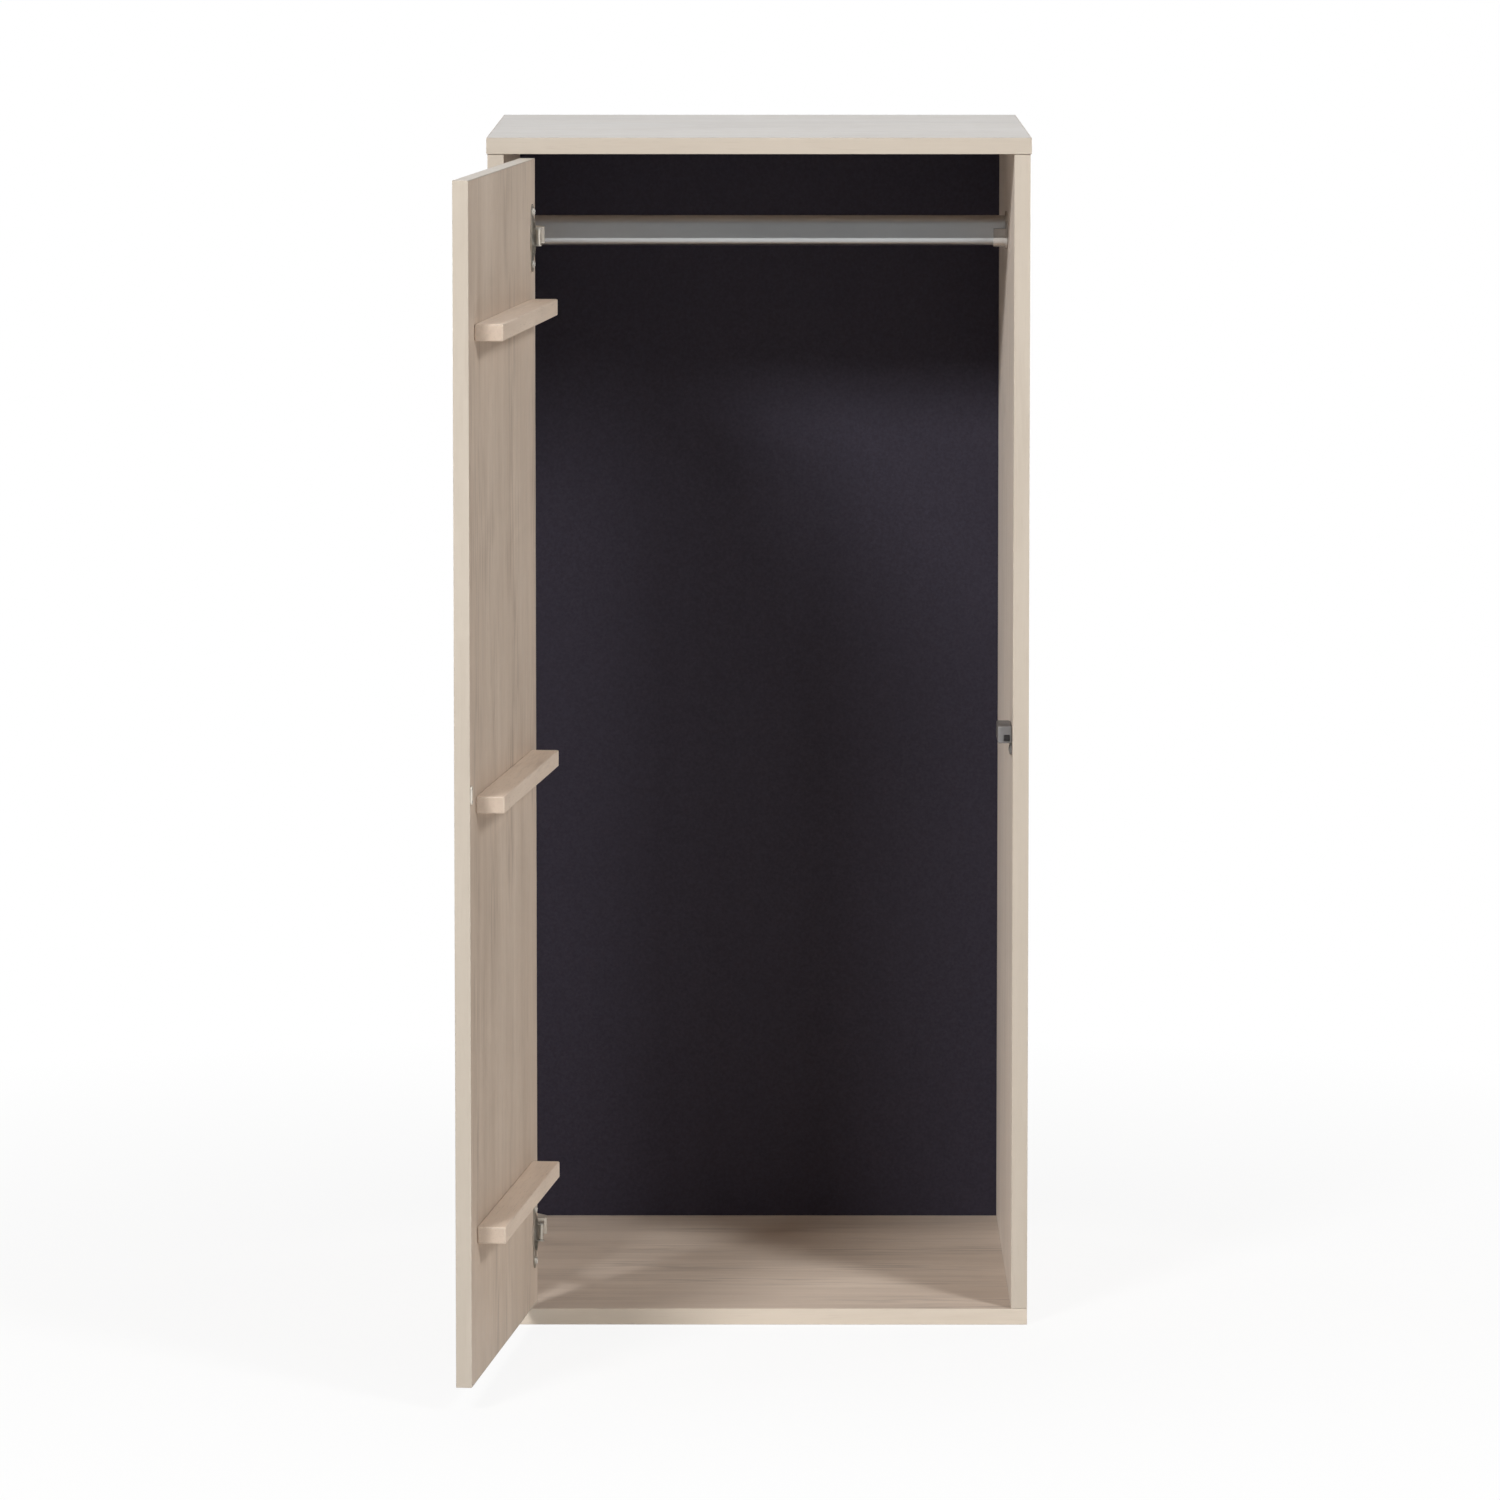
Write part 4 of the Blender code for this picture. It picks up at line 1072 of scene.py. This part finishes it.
@dataclass
class Door:
    """The door board with its edging, battens and strike plate."""

    # The door board's oak is painted lighter as a whole for the light on its inner face, and its outer face
    # painted darker again.
    board: Board = Board(GrainAxis.ALONG_Z, 6.0, 0.06, 1.14, 0.60, painted_front_shade=0.80)
    battens: Tuple[str, ...] = ("upper_door_batten", "middle_door_batten", "lower_door_batten")
    first_batten_seed: float = 40.0
    strips: Dict[str, GrainAxis] = field(default_factory=lambda: {
        "door_hinge_edging": GrainAxis.ALONG_Z,
        "door_free_edging": GrainAxis.ALONG_Z,
        "door_top_edging": GrainAxis.ALONG_X,
        "door_bottom_edging": GrainAxis.ALONG_X,
    })
    first_strip_seed: float = 20.0
    strike: str = "latch_strike"
    strike_screw: CrossScrew = CrossScrew(0.0015, 0.00015, 0.00020, 0.0008, 0.006, 32, 10)
    strike_screw_offset: float = 0.0062
    strike_screw_spin: float = 0.4
    strike_half_thickness: float = 0.0006

    def dress(self) -> None:
        """Dresses the board, its strips, its battens and its strike."""
        dress("door_panel", self.board.finish("door_oak", True))
        for seed, node in enumerate(self.battens):
            # The battens' oak is painted lighter as a whole for the light on their long and top faces, and
            # their ends painted darker again.
            batten = Board(GrainAxis.ALONG_X, self.first_batten_seed + seed, 0.06, 1.38, 0.30, 0.70)
            dress(node, batten.finish(node + "_oak", True))
        for seed, (node, grain) in enumerate(self.strips.items()):
            dress(node, edging(node + "_oak", grain, self.first_strip_seed + seed, True))
        dress(self.strike, NICKEL)

    def build(self) -> None:
        """Makes the two screws of the strike plate."""
        low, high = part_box(self.strike)
        middle = (np.array(low) + np.array(high)) / 2
        inward = door_inward()
        face = middle + inward * self.strike_half_thickness
        for place, sign in ENDS:
            seat = face + np.array((0.0, 0.0, sign * self.strike_screw_offset))
            spin = self.strike_screw_spin * sign
            screw = self.strike_screw.place(f"strike_{place}_screw", seat, inward, spin)
            fasten(screw, "door", STEEL)


@dataclass
class ConcealedHinge:
    """One hinge: cup and flange on the door, arm and winged plate on the side, link between them."""

    level: Level
    ear_screw: CrossScrew = CrossScrew(0.0038, 0.0014, 0.0010, 0.0016, 0.010)
    wing_screw: CrossScrew = CrossScrew(0.0042, 0.0006, 0.0008, 0.0018, 0.012)
    arm_screw: CrossScrew = CrossScrew(0.0040, 0.0005, 0.0019, 0.0019, 0.0074)
    cup_x: float = -0.2275
    ear_offset: float = 0.006
    ear_height: float = 0.0255
    ear_face: float = -0.2861
    wing_height: float = 0.018
    wing_y: float = -0.2515
    plate_face: float = -0.2477
    ear_spin: Range = (0.3, 0.9)
    wing_spin: float = 0.7
    arm_spins: Dict[str, float] = field(default_factory=lambda: {"clamp": 0.35, "side": 1.1})

    def centre(self) -> float:
        """Returns the hinge's height, from its cup's box."""
        low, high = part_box(f"{self.level.value}_hinge_cup")
        return (low.z + high.z) / 2

    def dress(self) -> None:
        """Dresses the hinge's nodes."""
        name = self.level.value
        for part in ("arm", "plate"):
            dress(f"{name}_hinge_{part}", NICKEL)
        dress(f"{name}_hinge_cup", CUP_NICKEL_PAINTED_SHADE)
        dress(f"{name}_hinge_link", LINK_PLATING_PAINTED_SHADE)
        for part in ("arm_pin", "cup_pin"):
            dress(f"{name}_{part}", STEEL)
        for part in self.arm_spins:
            dress(f"{name}_hinge_{part}_screw", STEEL)

    def build(self) -> None:
        """Makes the screws of the cup's ears and the plate's wings, and the arm's adjusting screws."""
        name = self.level.value
        height = self.centre()
        inward = door_inward()
        rightward = (1.0, 0.0, 0.0)
        ear_turn, ear_step = self.ear_spin
        for place, sign in ENDS:
            ear = opened((self.cup_x + self.ear_offset, self.ear_face, height + sign * self.ear_height))
            spin = ear_turn + ear_step * sign
            screw = self.ear_screw.place(f"{name}_cup_{place}_screw", ear, inward, spin)
            fasten(screw, "door", EAR_NICKEL_PAINTED_HIGHLIGHT)
            wing = (self.plate_face, self.wing_y, height + sign * self.wing_height)
            spin = self.wing_spin * sign
            screw = self.wing_screw.place(f"{name}_plate_{place}_screw", wing, rightward, spin)
            fasten(screw, "carcass", STEEL)
        for use, spin in self.arm_spins.items():
            node = f"{name}_hinge_{use}_screw"
            low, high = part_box(node)
            seat = (high.x - self.arm_screw.rim - self.arm_screw.rise, (low.y + high.y) / 2, height)
            screw = self.arm_screw.place(f"{name}_arm_{use}_screw", seat, rightward, spin)
            fasten(screw, "carcass", STEEL)
            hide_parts(node)


@dataclass
class PushLatch:
    """The push latch on the right side: housing, foot screw and plunger."""

    housing: str = "latch_housing"
    plunger: str = "latch_plunger"
    foot_screw: CrossScrew = CrossScrew(0.0034, 0.0006, 0.0005, 0.0016, 0.010)
    foot_behind_front: float = 0.0155
    foot_thickness: float = 0.0018
    screw_above_foot_end: float = 0.0055
    foot_screw_spin: float = 0.5

    def dress(self) -> None:
        """Dresses the housing and the plunger."""
        dress(self.housing, LATCH_GREY)
        dress(self.plunger, LATCH_BLACK)

    def build(self) -> None:
        """Makes the screw through the housing's foot."""
        low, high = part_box(self.housing)
        seat = (
            high.x - self.foot_thickness,
            low.y + self.foot_behind_front,
            low.z + self.screw_above_foot_end,
        )
        screw = self.foot_screw.place("latch_foot_screw", seat, (-1.0, 0.0, 0.0), self.foot_screw_spin)
        fasten(screw, "carcass", STEEL)


@dataclass(frozen=True)
class Softbox:
    """A flat oval lamp aimed at the wardrobe.

    Its level is the share of full brightness that it alone gives a surface that faces it.
    """

    name: str
    azimuth: float
    elevation: float
    distance: float
    wide: float
    level: float
    tall: float
    aim: Triple = (0.0, -0.30, 0.60)

    def build(self) -> None:
        """Makes the lamp: its power is the level times pi squared times the distance squared."""
        light = bpy.data.lights.new(self.name, "AREA")
        light.shape = "ELLIPSE"
        light.size = self.wide
        light.size_y = self.tall
        light.energy = self.level * math.pi ** 2 * self.distance ** 2
        lamp = bpy.data.objects.new(self.name, light)
        across = math.radians(self.azimuth)
        up = math.radians(self.elevation)
        flat = math.cos(up)
        toward = np.array((math.sin(across) * flat, -math.cos(across) * flat, math.sin(up)))
        lamp.location = np.array(self.aim) + toward * self.distance
        lamp.rotation_euler = (math.pi / 2 - up, 0.0, across)
        lamp.visible_camera = False
        bpy.context.scene.collection.objects.link(lamp)


@dataclass
class Studio:
    """Floor, lamps, surrounding light and camera."""

    lamps: Tuple[Softbox, ...] = (
        Softbox("left_softbox", -22.8, 28.0, 6.1, 1.20, 0.56, 0.64),
        Softbox("right_softbox", 35.0, 28.5, 6.0, 1.15, 0.49, 1.4),
        Softbox("right_fill", 52.0, 10.0, 5.0, 2.2, 0.03, 2.2),
        Softbox("top_softbox", 180.0, 62.0, 5.0, 2.5, 0.15, 2.5),
        Softbox("rear_left_fill", -140.0, 0.0, 5.0, 1.6, 0.32, 1.0),
        Softbox("rear_right_fill", 140.0, 0.0, 5.0, 1.6, 0.32, 1.0),
    )
    ambient: float = 0.06
    front_glow: float = 0.06
    floor_reach: float = 40.0
    floor_drop: float = 0.0005
    floor_roughness: float = 0.9
    floor_colour: Colour = (0.93, 0.93, 0.92)
    far_floor_colour: Colour = (0.16, 0.16, 0.16)
    white_reach: float = 4.0
    shadow_keep: float = 0.13
    fade_start: float = 0.6
    fade_end: float = 1.8
    camera_place: Triple = (0.010, -9.3015, 1.5319)
    camera_pitch: float = 6.08
    camera_yaw: float = 0.12
    focal_length: float = 220.36
    sensor: float = 36.0
    camera_reach: float = 200.0
    glow_turn: float = 0.25

    def build(self) -> None:
        """Makes everything that lights and frames the wardrobe."""
        self.build_floor()
        self.build_world()
        self.build_camera()
        for lamp in self.lamps:
            lamp.build()
        bpy.context.scene.view_settings.view_transform = "Standard"

    def build_floor(self) -> None:
        """Makes a flat floor, white to the camera further out and keeping the shadow near the wardrobe."""
        reach = np.linspace(-self.floor_reach, self.floor_reach, 3)
        across, along = np.meshgrid(reach, reach, indexing="ij")
        points = np.stack((across, along, np.full_like(across, -self.floor_drop)), axis=-1).reshape(-1, 3)
        row, step = np.meshgrid(np.arange(2), np.arange(2), indexing="ij")
        corner = (row * 3 + step).ravel()
        faces = np.stack((corner, corner + 3, corner + 4, corner + 1), axis=-1)
        mesh = bpy.data.meshes.new("studio_floor")
        mesh.from_pydata(points.tolist(), [], faces.tolist())
        floor = bpy.data.objects.new("studio_floor", mesh)
        bpy.context.scene.collection.objects.link(floor)
        material, wiring, shader = start_material("studio_floor")
        shader.inputs["Roughness"].default_value = self.floor_roughness
        length = wiring.node("ShaderNodeVectorMath")
        length.operation = "LENGTH"
        wiring.feed(length.inputs[0], own_place(wiring))
        away = wiring.span(length.outputs["Value"], self.white_reach, 2 * self.white_reach)
        seen = wiring.node("ShaderNodeLightPath")
        wiring.feed(shader.inputs["Base Color"], wiring.mix(away, self.floor_colour, self.far_floor_colour))
        near_share = 1.0 - self.shadow_keep
        far = wiring.span(length.outputs["Value"], self.fade_start, self.fade_end, near_share, 1.0)
        direct = wiring.calc("MAXIMUM", seen.outputs["Is Camera Ray"], seen.outputs["Is Transmission Ray"])
        glow = wiring.node("ShaderNodeEmission")
        blend = wiring.node("ShaderNodeMixShader")
        wiring.feed(blend.inputs[0], wiring.calc("MULTIPLY", far, direct))
        wiring.feed(blend.inputs[1], shader.outputs[0])
        wiring.feed(blend.inputs[2], glow.outputs[0])
        wiring.feed(material.node_tree.nodes["Material Output"].inputs["Surface"], blend.outputs[0])
        mesh.materials.append(material)

    def build_world(self) -> None:
        """Makes soft light from all round, white to the camera and, from behind, in reflections."""
        world = bpy.data.worlds.new("studio_world")
        bpy.context.scene.world = world
        world.use_nodes = True
        wiring = Wiring(world.node_tree)
        background = world.node_tree.nodes["Background"]
        seen = wiring.node("ShaderNodeLightPath")
        direct = wiring.calc("MAXIMUM", seen.outputs["Is Camera Ray"], seen.outputs["Is Glossy Ray"])
        direct = wiring.calc("MAXIMUM", direct, seen.outputs["Is Transmission Ray"])
        toward = wiring.parts(wiring.node("ShaderNodeTexCoord").outputs["Generated"])
        mirrored = wiring.span(toward["Y"], -self.glow_turn, self.glow_turn, self.front_glow, 1.0)
        white = wiring.calc("MAXIMUM", mirrored, seen.outputs["Is Camera Ray"])
        strength = wiring.calc("ADD", wiring.calc("MULTIPLY", direct, white), self.ambient)
        wiring.feed(background.inputs["Strength"], wiring.calc("MINIMUM", strength, 1.0))
        background.inputs["Color"].default_value = (1.0, 1.0, 1.0, 1.0)

    def build_camera(self) -> None:
        """Makes the camera of the photograph's view."""
        camera = bpy.data.cameras.new("photo_camera")
        camera.lens = self.focal_length
        camera.sensor_width = self.sensor
        camera.clip_end = self.camera_reach
        holder = bpy.data.objects.new("photo_camera", camera)
        holder.location = self.camera_place
        holder.rotation_euler = (math.radians(90.0 - self.camera_pitch), 0.0, math.radians(self.camera_yaw))
        bpy.context.scene.collection.objects.link(holder)
        bpy.context.scene.camera = holder


def main() -> None:
    """Builds and dresses every sub-assembly in order."""
    logging.basicConfig(level=logging.INFO, format="%(name)s: %(message)s")
    Studio().build()
    make_groups()
    Carcass().dress()
    BackPanel().dress()
    HangingRail().dress()
    door = Door()
    door.dress()
    door.build()
    for level in Level:
        hinge = ConcealedHinge(level)
        hinge.dress()
        hinge.build()
    latch = PushLatch()
    latch.dress()
    latch.build()


if __name__ == "__main__":
    main()
